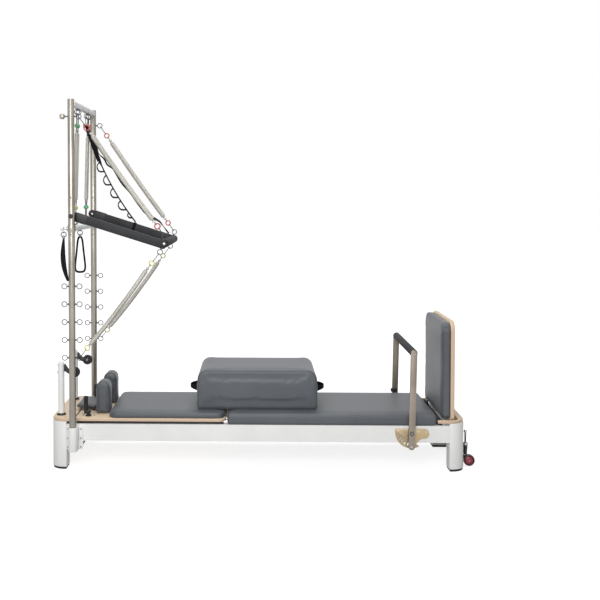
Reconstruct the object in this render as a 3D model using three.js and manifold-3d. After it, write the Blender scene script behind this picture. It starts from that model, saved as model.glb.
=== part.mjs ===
// Pilates tower unit: a white aluminium reformer frame on four legs with plywood decks, a
// sliding carriage, a mat extension with a sitting box on it, a jump board and a footbar at
// the foot end, and at the head end a half trapeze tower of two steel posts that carries a
// push-through bar, sprung straps, four hanging springs and two foot loops.
// X runs along the frame with the foot end at +X, Y across it, Z up. Lengths are millimetres.

import * as THREE from 'three';
import { mergeVertices } from 'three/addons/utils/BufferGeometryUtils.js';
import Module from 'manifold-3d';

const wasm = await Module();
wasm.setup();

// Clearances and shared counts
const seatGap = 0.3;
const runGap = 0.5;
const overrun = 4;
const bite = 1;
const deepBite = 4;
const roundSides = 12;
const smallSides = 8;
const fewSides = 5;
const arcSteps = 4;

// Frame
const frameLength = 2430;
const frameWidth = 640;
const railTop = 269;
const railHeight = 99;
const railThickness = 44;
const railWall = 4;
const trackDepth = 26;
const trackTop = 214;
const trackThickness = 5;
const beamThickness = 44;
const headBeamInset = 12;
const footBeamInset = 4;
const legLength = 94;
const legDepth = 96;
const legCorner = 80;
const legWall = 5;
const headLegTop = 282;
const footLegTop = 282;
const padHeight = 12;
const padInset = 3;

// Decks
const headDeckLength = 134;
const headDeckThickness = 18;
const headDeckCorner = 100;
const footDeckLength = 162;
const footDeckThickness = 18;
const footDeckCorner = 100;
const footDeckRim = 18;
const footDeckEndRim = 36;
const footDeckInnerCorner = 42;

// Tower posts and their sockets
const postInset = 141;
const postReach = 53;
const postRadius = 19;
const postWall = 2;
const postFoot = 126;
const postTopReach = 23;
const socketBottom = 120;
const socketTop = 261;
const socketRadius = 26;
const flangeLength = 97;
const flangeThickness = 8;
const flangeOffset = 1;
const screwRadius = 5;
const screwHead = 2.5;
const screwInset = 9;
const screwEdge = 19;
const topKnobReach = 34;
const topKnobLength = 32;
const topKnobRadius = 16;

// Eyes that the hooks go through
const eyeRadius = 15;
const eyeWire = 2.5;
const eyeSteps = 6;
const wireSides = 3;
const eyeReach = 44;
const shankRadius = 3;
const eyeLowest = 669;
const eyePitch = 104;
const eyeLevels = 5;
const eyeTopDrop = 77;
const boltRise = 16;

// Crossbars
const crossbarRadius = 19;
const topBarHeight = 2143;
const lowBarHeight = 1420;
const barNutRadius = 23;
const barNutLength = 14;
const topNutShares = [0.28, 1];
const collarRadius = 26;
const collarHeight = 44;
const knobShankRadius = 6;
const knobRadius = 13;
const knobLength = 18;
const knobReach = 46;

// Push-through bar
const pivotHeight = 1492;
const pushBarLength = 570;
const pushBarDropDegrees = 17.5;
const pushArmHeight = 50;
const pushArmThickness = 25;
const pushArmGap = 8;
const pushTubeRadius = 14;
const pushGripRadius = 24;
const pushTubeLift = 6;
const upperEyeBack = 24;
const lowerEyeBack = 22;
const pushEyeRise = 23;
const pivotPinRadius = 6;
const pivotKnobRadius = 13;
const pivotKnobLength = 18;
const pivotHeadRadius = 10;
const pivotHeadLength = 4;
const pivotClearance = 0.7;

// Springs and what hooks them up
const hookWire = 2.5;
const hookHalfWidth = 7;
const hookArcSteps = 2;
const endRingRadius = 14;
const endRingWire = 3;
const curlSteps = 8;
const curlSides = 5;
const upperSpring = {
  coilRadius: 12.75, wireRadius: 2.25, curls: 8, head: 130, tail: 116, sag: 0, ringed: true,
};
const lowerSpring = {
  coilRadius: 9, wireRadius: 2, curls: 8, head: 128, tail: 98, sag: 13, ringed: true,
};
const hangingSpring = {
  coilRadius: 7.6, wireRadius: 1.9, curls: 5, head: 125, tail: 129, sag: 0, ringed: false,
};
const ringFromEye = 80;
const tailRingFromEye = 72;
const hangingTops = [-185, -138, 180, 215];
const hangingLean = 110;

// Safety straps and foot loops
const strapWidth = 20;
const strapThickness = 3;
const farStrapTop = 130;
const farStrapAlong = 285;
const strapLoops = 5;
const strapLoopReach = 30;
const strapLoopLength = 40;
const strapLoopFirstShare = 0.412;
const strapLoopClear = 60;
const nearStrapSag = 16;
const strapSteps = 8;
const footLoopEye = 35;
const footLoopY = -108;
const footLoopDrop = 215;
const footLoopHalfWidth = 27;
const sideLoopHalfWidth = 18;
const footLoopBand = 25;
const footLoopThickness = 3;
const loopHookLength = 34;
const sideEyeReach = 46;

// Pulleys
const riserInset = 43;
const riserFromSide = 105;
const riserRadius = 19;
const riserTop = 624;
const riserDomeShares = [[1, 0.5], [0.75, 1 / 6], [0, 0]];
const riserFlangeRadius = 28;
const riserFlangeHeight = 8;
const riserBoltRadius = 4;
const riserBoltReach = 8;
const pulleyReach = 82;
const pulleyHeight = 556;
const pulleyRadius = 31;
const pulleyWidth = 18;
const pulleyGroove = 6;
const pulleyAxle = 5;
const pulleyArmTop = 604;
const pulleyArmBottom = 546;
const pulleyCheek = 4;
const pulleyCheekHalf = 9;
const pulleySeatDepth = 10;

// Carriage
const boardGap = 11;
const boardLength = 888;
const boardBottom = 283;
const boardThickness = 18;
const boardInset = 10;
const boardCorner = 45;
const cushionStart = 193;
const cushionEndInset = 4;
const cushionInset = 10;
const cushionThickness = 32;
const cushionCrown = 4;
const cushionRoll = 12;
const cushionCorner = 50;
const wheelRadius = 24;
const wheelWidth = 18;
const axleRadius = 5;
const axleFromEnd = 82;
const hangerWidth = 30;
const hangerThickness = 6;
const hangerDrop = 14;
const hangerInset = 22;
const strapPegRadius = 13;
const strapPegHeight = 103;
const strapPegFromEnd = 42;
const strapPegSpread = 180;
const cleatRadius = 18;
const cleatHeight = 30;
const cleatFromEnd = 70;
const cleatSpread = 250;
const headrestStart = -29;
const headrestLength = 126;
const headrestHalf = 120;
const headrestLift = 17;
const headrestThickness = 18;
const headrestCrown = 2;
const headrestRoll = 7;
const headrestCorner = 22;
const headrestBlock = 26;
const headrestBlockHalf = 90;
const restStart = 105;
const restLength = 82;
const restNear = 90;
const restWidth = 100;
const restHeight = 196;
const restRoll = 12;
const restCrown = 3;
const restFoot = 8;
const restPegRadius = 6;
const restPegDepth = 20;
const restPegInset = 22;

// Carriage springs, under the mat
const springBarFromFoot = 560;
const springBarHeight = 40;
const springBarThickness = 10;
const anchorFromEnd = 30;
const anchorDepth = 18;
const anchorThickness = 20;
const anchorHalf = 215;
const carriageSprings = 5;
const carriageSpringPitch = 90;
const carriageSpringRadius = 12;
const carriageSpringHeight = 245;
const carriageHookRadius = 3;
const carriageHookDrop = 26;

// Mat extension and sitting box
const matGap = 6;
const matEndGap = 3;
const matThickness = 66;
const matRoll = 14;
const matDrawIn = 3;
const matCrown = 3;
const matCorner = 18;
const boxOverCarriage = 181;
const boxLength = 719;
const boxHalfWidth = 238;
const boxHeight = 237;
const boxTopCorner = 62;
const boxBottomCorner = 14;
const boxRoll = 20;
const boxCrown = 5;
const handleHeight = 98;
const handleWidth = 40;
const handleHalf = 70;
const handleReach = 50;
const handleThickness = 3;

// Jump board
const jumpBoardInset = 96;
const jumpPanelThickness = 21;
const jumpCushionThickness = 42;
const jumpCushionCrown = 4;
const jumpHalfWidth = 298;
const jumpBottom = 290;
const jumpTop = 876;
const jumpTopCorner = 60;
const jumpBottomCorner = 30;
const jumpRoll = 12;
const jumpDrawIn = 2;
const jumpCushionRim = 3;
const tongueHalf = 30;
const tongueSpread = 150;
const tongueBottom = 196;
const tonguePocketWall = 8;
const pocketTop = 262;

// Footbar and its plates
const footbarInset = 318;
const footbarPivot = 231;
const footbarRise = 468;
const footbarLean = 9;
const footbarTail = 77;
const footbarArmWidth = 38;
const footbarArmThickness = 8;
const footbarStandOff = 18;
const footbarTubeRadius = 12;
const footbarGripRadius = 22;
const footbarBoltRadius = 9;
const footbarBoltLength = 4;
const tailPinRadius = 6;
const tailPinDrop = 73;
const footbarPinRadius = 7;
const footbarPinHead = 12;
const plateThickness = 8;
const sectorRadius = 92;
const plateLugLength = 104;
const plateLugHeight = 30;
const plateHubRadius = 21;
const slotRadius = 4.5;
const slotAt = 80;
const slotAnglesDegrees = [196, 214, 232, 250];

// Transport wheels
const transportRadius = 33;
const transportWidth = 34;
const transportHeight = 38;
const transportReach = 48;
const transportFromMiddle = 200;
const transportAxle = 6;
const transportPlate = 4;
const transportPlateHalf = 22;
const transportPlateBottom = 62;
const transportPlateTop = 222;
const earThickness = 4;
const earHalf = 11;
const damperRadius = 13;
const damperReach = 26;
const damperTop = 140;
const damperBottom = 74;
const damperCap = 6;
const damperCapRadius = 15;
const pullKnobRadius = 8;
const pullKnobReach = 20;
const pullKnobHeight = 210;

// Places worked out from the sizes above
const near = -1;
const far = 1;
const halfWidth = frameWidth / 2;
const headEnd = -frameLength / 2;
const footEnd = frameLength / 2;
const railBottom = railTop - railHeight;
const headLegInner = headEnd + legLength;
const footLegInner = footEnd - legLength;
const deckStart = headEnd - padInset;
const deckEnd = deckStart + headDeckLength;
const headDeckTop = headLegTop + headDeckThickness;
const postX = headEnd + postInset;
const postTop = topBarHeight + postTopReach;
const eyeHighest = topBarHeight - eyeTopDrop;
const postY = halfWidth + postReach;
const armY = postY - postRadius - pushArmGap - pushArmThickness / 2;
const boardStart = deckEnd + boardGap;
const boardEnd = boardStart + boardLength;
const boardTop = boardBottom + boardThickness;
const cushionBase = boardTop + seatGap;
const cushionTop = cushionBase + cushionThickness + cushionCrown;
const matStart = boardEnd + matGap;
const matEnd = footEnd - footDeckLength - matEndGap;
const matBase = railTop + seatGap;
const matTop = matBase + matThickness + matCrown;
const boxBase = Math.max(cushionTop, matTop) + seatGap;
const footbarX = footEnd - footbarInset;
const footbarArmY = halfWidth + plateThickness + footbarStandOff + footbarArmThickness / 2;
const hookSeat = eyeRadius - Math.SQRT2 * (eyeWire + hookWire + seatGap);
const axleHeight = trackTop + seatGap + wheelRadius;
const panelBack = footEnd - footDeckEndRim - jumpBoardInset / 2 + jumpPanelThickness;

// Directions
const alongX = new THREE.Vector3(1, 0, 0);
const alongY = new THREE.Vector3(0, 1, 0);
const alongZ = new THREE.Vector3(0, 0, 1);

// Materials
const looks = {
  whitePaint: { color: 0xe8e9e8, roughness: 0.45, metalness: 0.1 },
  plywood: { color: 0xe6cdaf, roughness: 0.55, metalness: 0 },
  stainless: { color: 0xa0988e, roughness: 0.3, metalness: 0.9 },
  silver: { color: 0xb8bbbd, roughness: 0.35, metalness: 0.8 },
  upholstery: { color: 0x7c8188, roughness: 0.6, metalness: 0 },
  charcoal: { color: 0x46484b, roughness: 0.5, metalness: 0.2 },
  black: { color: 0x1b1b1d, roughness: 0.6, metalness: 0 },
  rubber: { color: 0x2a2b2d, roughness: 0.8, metalness: 0 },
  plate: { color: 0xcdbe9b, roughness: 0.35, metalness: 0.7 },
  webbing: { color: 0x17171a, roughness: 0.9, metalness: 0 },
};

// The point at (x, y, z)
function at(x, y, z) {
  return new THREE.Vector3(x, y, z);
}

// A closed mesh as a solid for joining and cutting
function solidOf(geometry) {
  const bare = geometry.clone();
  bare.deleteAttribute('normal');
  bare.deleteAttribute('uv');
  const welded = mergeVertices(bare);
  const vertProperties = new Float32Array(welded.attributes.position.array);
  const triVerts = new Uint32Array(welded.index.array);
  return new wasm.Manifold(new wasm.Mesh({ numProp: 3, vertProperties, triVerts }));
}

// A solid as a mesh again
function geometryOf(solid) {
  const mesh = solid.getMesh();
  const geometry = new THREE.BufferGeometry();
  geometry.setAttribute('position', new THREE.BufferAttribute(new Float32Array(mesh.vertProperties), 3));
  geometry.setIndex(new THREE.BufferAttribute(new Uint32Array(mesh.triVerts), 1));
  geometry.computeVertexNormals();
  return geometry;
}

// Several overlapping meshes joined into one
function join(...geometries) {
  return geometryOf(geometries.map(solidOf).reduce((sum, next) => sum.add(next)));
}

// The first mesh with the others cut out of it
function cut(geometry, ...tools) {
  return geometryOf(tools.map(solidOf).reduce((rest, tool) => rest.subtract(tool), solidOf(geometry)));
}

// A box between two X, two Y and two Z values
function block(x0, x1, y0, y1, z0, z1) {
  const geometry = new THREE.BoxGeometry(Math.abs(x1 - x0), Math.abs(y1 - y0), Math.abs(z1 - z0));
  return geometry.translate((x0 + x1) / 2, (y0 + y1) / 2, (z0 + z1) / 2);
}

// A round bar from one point to another, which may taper
function rod(from, to, radius, sides = smallSides, endRadius = radius) {
  const along = to.clone().sub(from);
  const geometry = new THREE.CylinderGeometry(endRadius, radius, along.length(), sides);
  const turn = new THREE.Quaternion().setFromUnitVectors(alongY, along.clone().normalize());
  const middle = from.clone().lerp(to, 0.5);
  return geometry.applyQuaternion(turn).translate(middle.x, middle.y, middle.z);
}

// A round bar across the frame at (x, z), from y0 to y1
function barAcross(x, z, y0, y1, radius, sides = smallSides) {
  return rod(at(x, y0, z), at(x, y1, z), radius, sides);
}

// A round bar along the frame at (y, z), from x0 to x1
function barAlong(y, z, x0, x1, radius, sides = smallSides) {
  return rod(at(x0, y, z), at(x1, y, z), radius, sides);
}

// An upright round bar at (x, y), from z0 to z1
function barUp(x, y, z0, z1, radius, sides = smallSides) {
  return rod(at(x, y, z0), at(x, y, z1), radius, sides);
}

// A rounded rectangle as a closed outline; corners run counter-clockwise from the low one
function roundedPoints(u0, u1, v0, v1, radii, steps = arcSteps, edgeSteps = 1) {
  const corners = [[u0, v0, 1, 1], [u1, v0, -1, 1], [u1, v1, -1, -1], [u0, v1, 1, -1]];
  const points = [];
  corners.forEach(([u, v, du, dv], index) => {
    const radius = radii[index];
    const centre = [u + du * radius, v + dv * radius];
    const start = Math.PI + index * Math.PI / 2;
    if (radius === 0) {
      points.push(new THREE.Vector2(u, v));
      return;
    }
    for (let step = 0; step <= steps; step += 1) {
      const angle = start + (step / steps) * Math.PI / 2;
      points.push(new THREE.Vector2(
        centre[0] + radius * Math.cos(angle),
        centre[1] + radius * Math.sin(angle),
      ));
    }
  });
  return edgeSteps > 1 ? splitEdges(points, steps, edgeSteps) : points;
}

// The straight sides of a rounded outline, divided
function splitEdges(points, steps, edgeSteps) {
  const divided = [];
  points.forEach((point, index) => {
    divided.push(point);
    if ((index + 1) % (steps + 1) === 0) {
      const next = points[(index + 1) % points.length];
      for (let step = 1; step < edgeSteps; step += 1) {
        divided.push(point.clone().lerp(next, step / edgeSteps));
      }
    }
  });
  return divided;
}

// A flat outline without points that lie on each other
function shapeOf(points, holes = []) {
  const clean = points.filter((point, index) => {
    const last = points[(index + points.length - 1) % points.length];
    return point.distanceTo(last) > seatGap / 10;
  });
  const turned = (ring) => (THREE.ShapeUtils.isClockWise(ring) ? ring.toReversed() : ring);
  const shape = new THREE.Shape(turned(clean));
  holes.forEach((hole) => shape.holes.push(new THREE.Path(turned(hole))));
  return shape;
}

function extrude(shape, depth) {
  return new THREE.ExtrudeGeometry(shape, { depth, bevelEnabled: false, curveSegments: arcSteps });
}

// An outline in X and Y, standing from z0 to z1
function upright(shape, z0, z1) {
  return extrude(shape, z1 - z0).translate(0, 0, z0);
}

// An outline in X and Z, reaching from y0 to y1
function across(shape, y0, y1) {
  return extrude(shape, y1 - y0).rotateX(Math.PI / 2).translate(0, y1, 0);
}

// An outline in Y and Z, reaching from x0 to x1
function lengthways(shape, x0, x1) {
  const turn = new THREE.Matrix4().makeBasis(alongY, alongZ, alongX);
  return extrude(shape, x1 - x0).applyMatrix4(turn).translate(x0, 0, 0);
}

// A skin over a row of rings with as many points each, closed into a loop or capped
function skin(rings, closed = false, caps = null) {
  const count = rings[0].length;
  const points = rings.flat();
  const faces = [];
  const rows = closed ? rings.length : rings.length - 1;
  for (let row = 0; row < rows; row += 1) {
    const next = (row + 1) % rings.length;
    for (let step = 0; step < count; step += 1) {
      const beside = (step + 1) % count;
      const [a, b] = [row * count + step, row * count + beside];
      const [c, d] = [next * count + beside, next * count + step];
      faces.push([a, b, c], [a, c, d]);
    }
  }
  if (!closed) {
    const middles = caps ?? [rings[0], rings[rings.length - 1]].map(middleOf);
    middles.forEach((middle, end) => {
      const first = end === 0 ? 0 : (rings.length - 1) * count;
      points.push(middle);
      for (let step = 0; step < count; step += 1) {
        const pair = [first + step, first + (step + 1) % count];
        faces.push(end === 0 ? [pair[1], pair[0], points.length - 1] : [...pair, points.length - 1]);
      }
    });
  }
  return meshOf(points, faces);
}

function middleOf(ring) {
  const sum = ring.reduce((total, point) => total.add(point), at(0, 0, 0));
  return sum.divideScalar(ring.length);
}

// Points and faces as a mesh whose faces point out
function meshOf(points, faces) {
  const [ab, ac] = [at(0, 0, 0), at(0, 0, 0)];
  let volume = 0;
  faces.forEach(([a, b, c]) => {
    volume += ab.crossVectors(points[a], points[b]).dot(ac.copy(points[c]));
  });
  const turned = volume < 0 ? faces.map(([a, b, c]) => [a, c, b]) : faces;
  const geometry = new THREE.BufferGeometry();
  geometry.setAttribute('position', new THREE.Float32BufferAttribute(points.flatMap((p) => p.toArray()), 3));
  geometry.setIndex(turned.flat());
  geometry.computeVertexNormals();
  return geometry;
}

// The direction of travel at each point of a route
function directions(route, closed) {
  return route.map((point, index) => {
    const before = closed ? (index + route.length - 1) % route.length : Math.max(index - 1, 0);
    const after = closed ? (index + 1) % route.length : Math.min(index + 1, route.length - 1);
    return route[after].clone().sub(route[before]).normalize();
  });
}

// A round tube along a route, carried from point to point without twisting
function tube(route, radius, sides, closed = false, firstNormal = alongZ) {
  const ways = directions(route, closed);
  let normal = firstNormal.clone();
  const rings = route.map((point, index) => {
    normal.sub(ways[index].clone().multiplyScalar(normal.dot(ways[index]))).normalize();
    const side = ways[index].clone().cross(normal);
    return Array.from({ length: sides }, (_, step) => {
      const angle = (step / sides) * 2 * Math.PI;
      return point.clone()
        .addScaledVector(normal, radius * Math.cos(angle))
        .addScaledVector(side, radius * Math.sin(angle));
    });
  });
  return skin(rings, closed);
}

// A flat band along a route that lies in a plane; side is the plane's normal
function band(route, side, width, thickness, closed = false) {
  const ways = directions(route, closed);
  const corners = [[-1, -1], [1, -1], [1, 1], [-1, 1]];
  const rings = route.map((point, index) => {
    const normal = ways[index].clone().cross(side).normalize();
    return corners.map(([sideways, out]) => point.clone()
      .addScaledVector(side, sideways * width / 2)
      .addScaledVector(normal, out * thickness / 2));
  });
  return skin(rings, closed);
}

// A long loop between two points, with round ends; side lies in its plane
function longLoop(from, to, side, loopHalf) {
  const along = to.clone().sub(from).normalize();
  const ends = [[from.clone().addScaledVector(along, loopHalf), -1],
    [to.clone().addScaledVector(along, -loopHalf), 1]];
  return ends.flatMap(([centre, way]) => Array.from({ length: hookArcSteps + 1 }, (_, step) => {
    const angle = (step / hookArcSteps - 0.5) * Math.PI;
    return centre.clone()
      .addScaledVector(along, way * loopHalf * Math.cos(angle))
      .addScaledVector(side, way * loopHalf * Math.sin(angle));
  }));
}

// Share of the roll that the edge on the unpadded side is drawn in by
const backShare = 0.4;

// An upholstered body: a stack of outlines drawn in at the middle of its sides, rolled over at
// its edges and rising to a crown. It stands on the U-V plane at w = 0.
function cushion({
  u, v, corners, depth, roll, drawIn = 0, crown = 0, backRoll = 0, backCrown = 0, cornerSteps = 3,
}) {
  const rollShares = [[1, 0], [0.3, 0.3], [0, 1]];
  const crownShares = [[0.86, 0.55], [0.5, 0.9]];
  const outline = (inset) => roundedPoints(u[0] + inset, u[1] - inset, v[0] + inset, v[1] - inset,
    corners.map((corner) => Math.max(corner - inset, roll * backShare)), cornerSteps, 2);
  const centre = new THREE.Vector2((u[0] + u[1]) / 2, (v[0] + v[1]) / 2);
  const ring = (inset, height, share = 1) => outline(inset).map((point) => {
    const moved = point.sub(centre).multiplyScalar(share).add(centre);
    return at(moved.x, moved.y, height);
  });
  const rings = [];
  if (backCrown > 0) {
    crownShares.toReversed().forEach(([share, rise]) => {
      rings.push(ring(backRoll, -backCrown * rise, share));
    });
  }
  if (backRoll > 0) {
    rollShares.forEach(([inset, height]) => rings.push(ring(backRoll * inset, backRoll * height)));
  } else {
    rings.push(ring(roll * backShare, 0), ring(0, roll * backShare));
  }
  rings.push(ring(drawIn, depth / 2));
  rollShares.toReversed().forEach(([inset, height]) => {
    rings.push(ring(roll * inset, depth - roll * height));
  });
  crownShares.forEach(([share, rise]) => rings.push(ring(roll, depth + crown * rise, share)));
  return skin(rings, false, [at(centre.x, centre.y, -backCrown), at(centre.x, centre.y, depth + crown)]);
}

// The least gap between turns of a wound tube, measured on the points of its route
function leastGap(route, radius) {
  let least = Infinity;
  for (let first = 0; first < route.length; first += 1) {
    for (let second = first + curlSteps / 2; second < route.length; second += 1) {
      least = Math.min(least, route[first].distanceTo(route[second]) - 2 * radius);
    }
  }
  return least;
}

// An eye: a ring with one of its points towards where it is pulled, on a shank
function eye(centre, normal, pull, shankTo) {
  const out = pull.clone().addScaledVector(normal, -pull.dot(normal)).normalize();
  const side = normal.clone().cross(out);
  const route = Array.from({ length: eyeSteps }, (_, step) => {
    const angle = (step / eyeSteps) * 2 * Math.PI;
    return centre.clone()
      .addScaledVector(out, eyeRadius * Math.cos(angle))
      .addScaledVector(side, eyeRadius * Math.sin(angle));
  });
  const toShank = shankTo.clone().sub(centre).normalize();
  const start = centre.clone().addScaledVector(toShank, eyeRadius * Math.cos(Math.PI / eyeSteps) - bite);
  return [tube(route, eyeWire, wireSides, true, normal), rod(start, shankTo, shankRadius, wireSides)];
}

// A wound spring between two eyes, as one body: a hook through the eye and an end ring at each
// end, and between the rings one unbroken wound wire
function spring(name, from, to, normal, sizes) {
  const { wireRadius, head, tail, ringed } = sizes;
  const along = to.clone().sub(from);
  const length = along.length();
  along.normalize();
  const side = normal.clone().addScaledVector(along, -normal.dot(along)).normalize();
  const other = along.clone().cross(side).normalize();
  const down = other.z < 0 ? other.clone() : other.clone().negate();
  const place = (distance) => from.clone().addScaledVector(along, distance);
  const ringReach = ringed ? endRingRadius : 0;
  const ends = [ringFromEye + ringReach - bite, length - tailRingFromEye - ringReach + bite];
  const route = woundRoute(place, side, other, down, ends, [head, length - tail], sizes);
  console.log(`${name}: least gap between turns ${leastGap(route, wireRadius).toFixed(2)} mm`);
  const fitting = (eyeAt, ringAt) => {
    const way = Math.sign(ringAt - eyeAt);
    const loop = longLoop(place(eyeAt + way * hookSeat), place(ringAt - way * (ringReach - bite)),
      side, hookHalfWidth);
    if (!ringed) {
      return [tube(loop, hookWire, wireSides, true, other)];
    }
    const ring = Array.from({ length: eyeSteps }, (_, step) => {
      const angle = (step / eyeSteps) * 2 * Math.PI;
      return place(ringAt + endRingRadius * Math.cos(angle)).addScaledVector(other,
        endRingRadius * Math.sin(angle));
    });
    return [
      tube(loop, hookWire, wireSides, true, other),
      tube(ring, endRingWire, wireSides, true, side),
    ];
  };
  return join(
    tube(route, wireRadius, curlSides),
    ...fitting(0, ringFromEye),
    ...fitting(length, length - tailRingFromEye),
  );
}

// The route of a wound wire: straight out of one end ring, out to the coil, round, and back
function woundRoute(place, side, other, down, ends, [start, end], { coilRadius, wireRadius, curls, sag }) {
  const straight = 2 * wireRadius;
  const rampSteps = curlSteps / 2;
  const steps = curls * curlSteps;
  const route = [place(ends[0]), place(start)];
  for (let step = 0; step <= steps; step += 1) {
    const share = step / steps;
    const grown = Math.min(1, step / rampSteps, (steps - step) / rampSteps);
    const angle = (step / curlSteps) * 2 * Math.PI;
    const drop = 4 * sag * share * (1 - share);
    route.push(place(start + straight + (end - start - 2 * straight) * share)
      .addScaledVector(side, coilRadius * grown * Math.cos(angle))
      .addScaledVector(other, coilRadius * grown * Math.sin(angle))
      .addScaledVector(down, drop));
  }
  route.push(place(end), place(ends[1]));
  return route;
}

const group = new THREE.Group();

// One named sub-part with its own material
function add(name, geometry, look) {
  const mesh = new THREE.Mesh(geometry, new THREE.MeshStandardMaterial(looks[look]));
  mesh.name = name;
  group.add(mesh);
}

// Aluminium side rail: a hollow extrusion with a track inside for the carriage wheels
function sideRail(side) {
  const outer = side * halfWidth;
  const inner = side * (halfWidth - railThickness);
  const lip = side * (halfWidth - railThickness - trackDepth);
  const outline = [[outer, railBottom], [inner, railBottom], [inner, trackTop - trackThickness],
    [lip, trackTop - trackThickness], [lip, trackTop], [inner, trackTop], [inner, railTop],
    [outer, railTop]].map(([y, z]) => new THREE.Vector2(y, z));
  const [o, i] = [outer - side * railWall, inner + side * railWall];
  const [b, t] = [railBottom + railWall, railTop - railWall];
  const hollow = [[o, b], [i, b], [i, t], [o, t]].map(([y, z]) => new THREE.Vector2(y, z));
  return lengthways(shapeOf(outline, [hollow]), headLegInner, footLegInner);
}

// End beam between two legs
function endBeam(x0, x1) {
  const y = halfWidth - legDepth;
  const shell = block(x0, x1, -y, y, railBottom, railTop);
  return cut(shell, block(x0 + railWall, x1 - railWall, -y - overrun, y + overrun,
    railBottom + railWall, railTop - railWall));
}

// Foot beam with the two pockets that hold the jump board's tongues
function footBeam() {
  const [x0, x1] = [footEnd - footBeamInset - beamThickness, footEnd - footBeamInset];
  const parts = [block(x0, x1, -halfWidth + legDepth, halfWidth - legDepth, railBottom, railTop)];
  const pockets = [];
  [near, far].forEach((side) => {
    const y = side * tongueSpread;
    const half = tongueHalf + runGap;
    const inner = panelBack - jumpPanelThickness - runGap;
    parts.push(block(inner - tonguePocketWall, x0 + bite, y - half - tonguePocketWall,
      y + half + tonguePocketWall, railBottom + tonguePocketWall, pocketTop));
    pockets.push(block(inner, panelBack + runGap, y - half, y + half,
      tongueBottom - runGap, pocketTop + overrun));
  });
  return cut(join(...parts), ...pockets);
}

// Hollow leg: flat towards the middle of the frame, round at the outer corner, on a rubber pad
function leg(end, side, top) {
  const inset = (margin, z0, z1) => {
    const [x0, x1] = end < 0 ? [headEnd, headLegInner] : [footLegInner, footEnd];
    const [y0, y1] = side < 0 ? [-halfWidth, legDepth - halfWidth] : [halfWidth - legDepth, halfWidth];
    const corners = [[-1, -1], [1, -1], [1, 1], [-1, 1]];
    const radii = corners.map(([toX, toY]) => (toX === end && toY === side ? legCorner - margin : 0));
    const outline = roundedPoints(x0 + margin, x1 - margin, y0 + margin, y1 - margin, radii);
    return upright(shapeOf(outline), z0, z1);
  };
  const hollow = inset(legWall, padHeight + legWall, top + overrun);
  return cut(join(inset(0, padHeight, top), inset(padInset, 0, padHeight + bite)), hollow);
}

// Plywood deck over the head end
function headDeck() {
  const corners = [headDeckCorner, 0, 0, headDeckCorner];
  return upright(shapeOf(roundedPoints(deckStart, deckEnd, -halfWidth, halfWidth, corners, arcSteps + 2)),
    headLegTop, headDeckTop);
}

// Plywood deck round the foot end, open towards the mat
function footDeck() {
  const start = footEnd - footDeckLength;
  const outer = upright(shapeOf(roundedPoints(start, footEnd, -halfWidth, halfWidth,
    [0, footDeckCorner, footDeckCorner, 0], arcSteps + 2)),
  footLegTop, footLegTop + footDeckThickness);
  const y = halfWidth - footDeckRim;
  const opening = upright(shapeOf(roundedPoints(start - footDeckInnerCorner, footEnd - footDeckEndRim,
    -y, y, [0, footDeckInnerCorner, footDeckInnerCorner, 0])),
  footLegTop - overrun, footLegTop + footDeckThickness + overrun);
  return cut(outer, opening);
}

// White socket that clamps a post to the outside of the rail
function postSocket(side) {
  const face = side * (halfWidth + seatGap);
  const outer = face + side * flangeThickness;
  const axis = side * postY;
  const x0 = headLegInner + flangeOffset;
  const body = [
    block(x0, x0 + flangeLength, face, outer, socketBottom, socketTop),
    block(postX - socketRadius, postX + socketRadius, outer - side * bite, axis, socketBottom, socketTop),
    barUp(postX, axis, socketBottom, socketTop, socketRadius, roundSides),
  ];
  [screwInset, flangeLength - screwInset].forEach((x) => {
    [socketTop - screwEdge, (socketTop + socketBottom) / 2].forEach((z) => {
      body.push(barAcross(x0 + x, z, outer - side * bite, outer + side * screwHead, screwRadius, fewSides));
    });
  });
  const boreRadius = postRadius + seatGap;
  const bore = barUp(postX, axis, postFoot - seatGap, socketTop + overrun, boreRadius, roundSides);
  return cut(join(...body), bore);
}

// Steel post with the hole for the push-through bar's pin, eyes on both sides and a top knob
function towerPost(side, pulls) {
  const y = side * postY;
  const boreRadius = postRadius - postWall;
  const post = barUp(postX, y, postFoot, postTop, postRadius, roundSides);
  const hollow = barUp(postX, y, postFoot - overrun, postTop - boltRise, boreRadius, roundSides);
  const eyes = [];
  const heights = Array.from({ length: eyeLevels }, (_, level) => eyeLowest + level * eyePitch);
  [...heights, eyeHighest].forEach((z) => {
    [-1, 1].forEach((way) => {
      const wall = at(postX + way * (postRadius - postWall / 2), y, z);
      if (way < 0 && z === eyeHighest) {
        const knobX = postX - topKnobReach;
        eyes.push(barAlong(y, z, wall.x, knobX, shankRadius, wireSides));
        eyes.push(barAlong(y, z, knobX + bite, knobX - topKnobLength, topKnobRadius));
        return;
      }
      const pull = way > 0 && pulls.has(z) ? pulls.get(z) : alongX;
      eyes.push(...eye(at(postX + way * eyeReach, y, z), alongY, pull, wall));
    });
  });
  const reach = postRadius + overrun;
  const pinHole = barAcross(postX, pivotHeight, y - reach, y + reach, pivotPinRadius + pivotClearance);
  return join(cut(post, hollow, pinHole), ...eyes);
}

// A bar between the posts with nuts on it and eyes for what hangs on it
function crossbar(height, eyes, nutShares, extra = []) {
  const reach = postY - postRadius - seatGap;
  const body = [barAcross(postX, height, -reach, reach, crossbarRadius, roundSides)];
  [near, far].forEach((side) => {
    nutShares.forEach((share) => {
      const y = side * reach * share;
      body.push(barAcross(postX, height, y, y - side * barNutLength, barNutRadius));
    });
  });
  return join(...body, ...eyes.flat(), ...extra);
}

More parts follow.
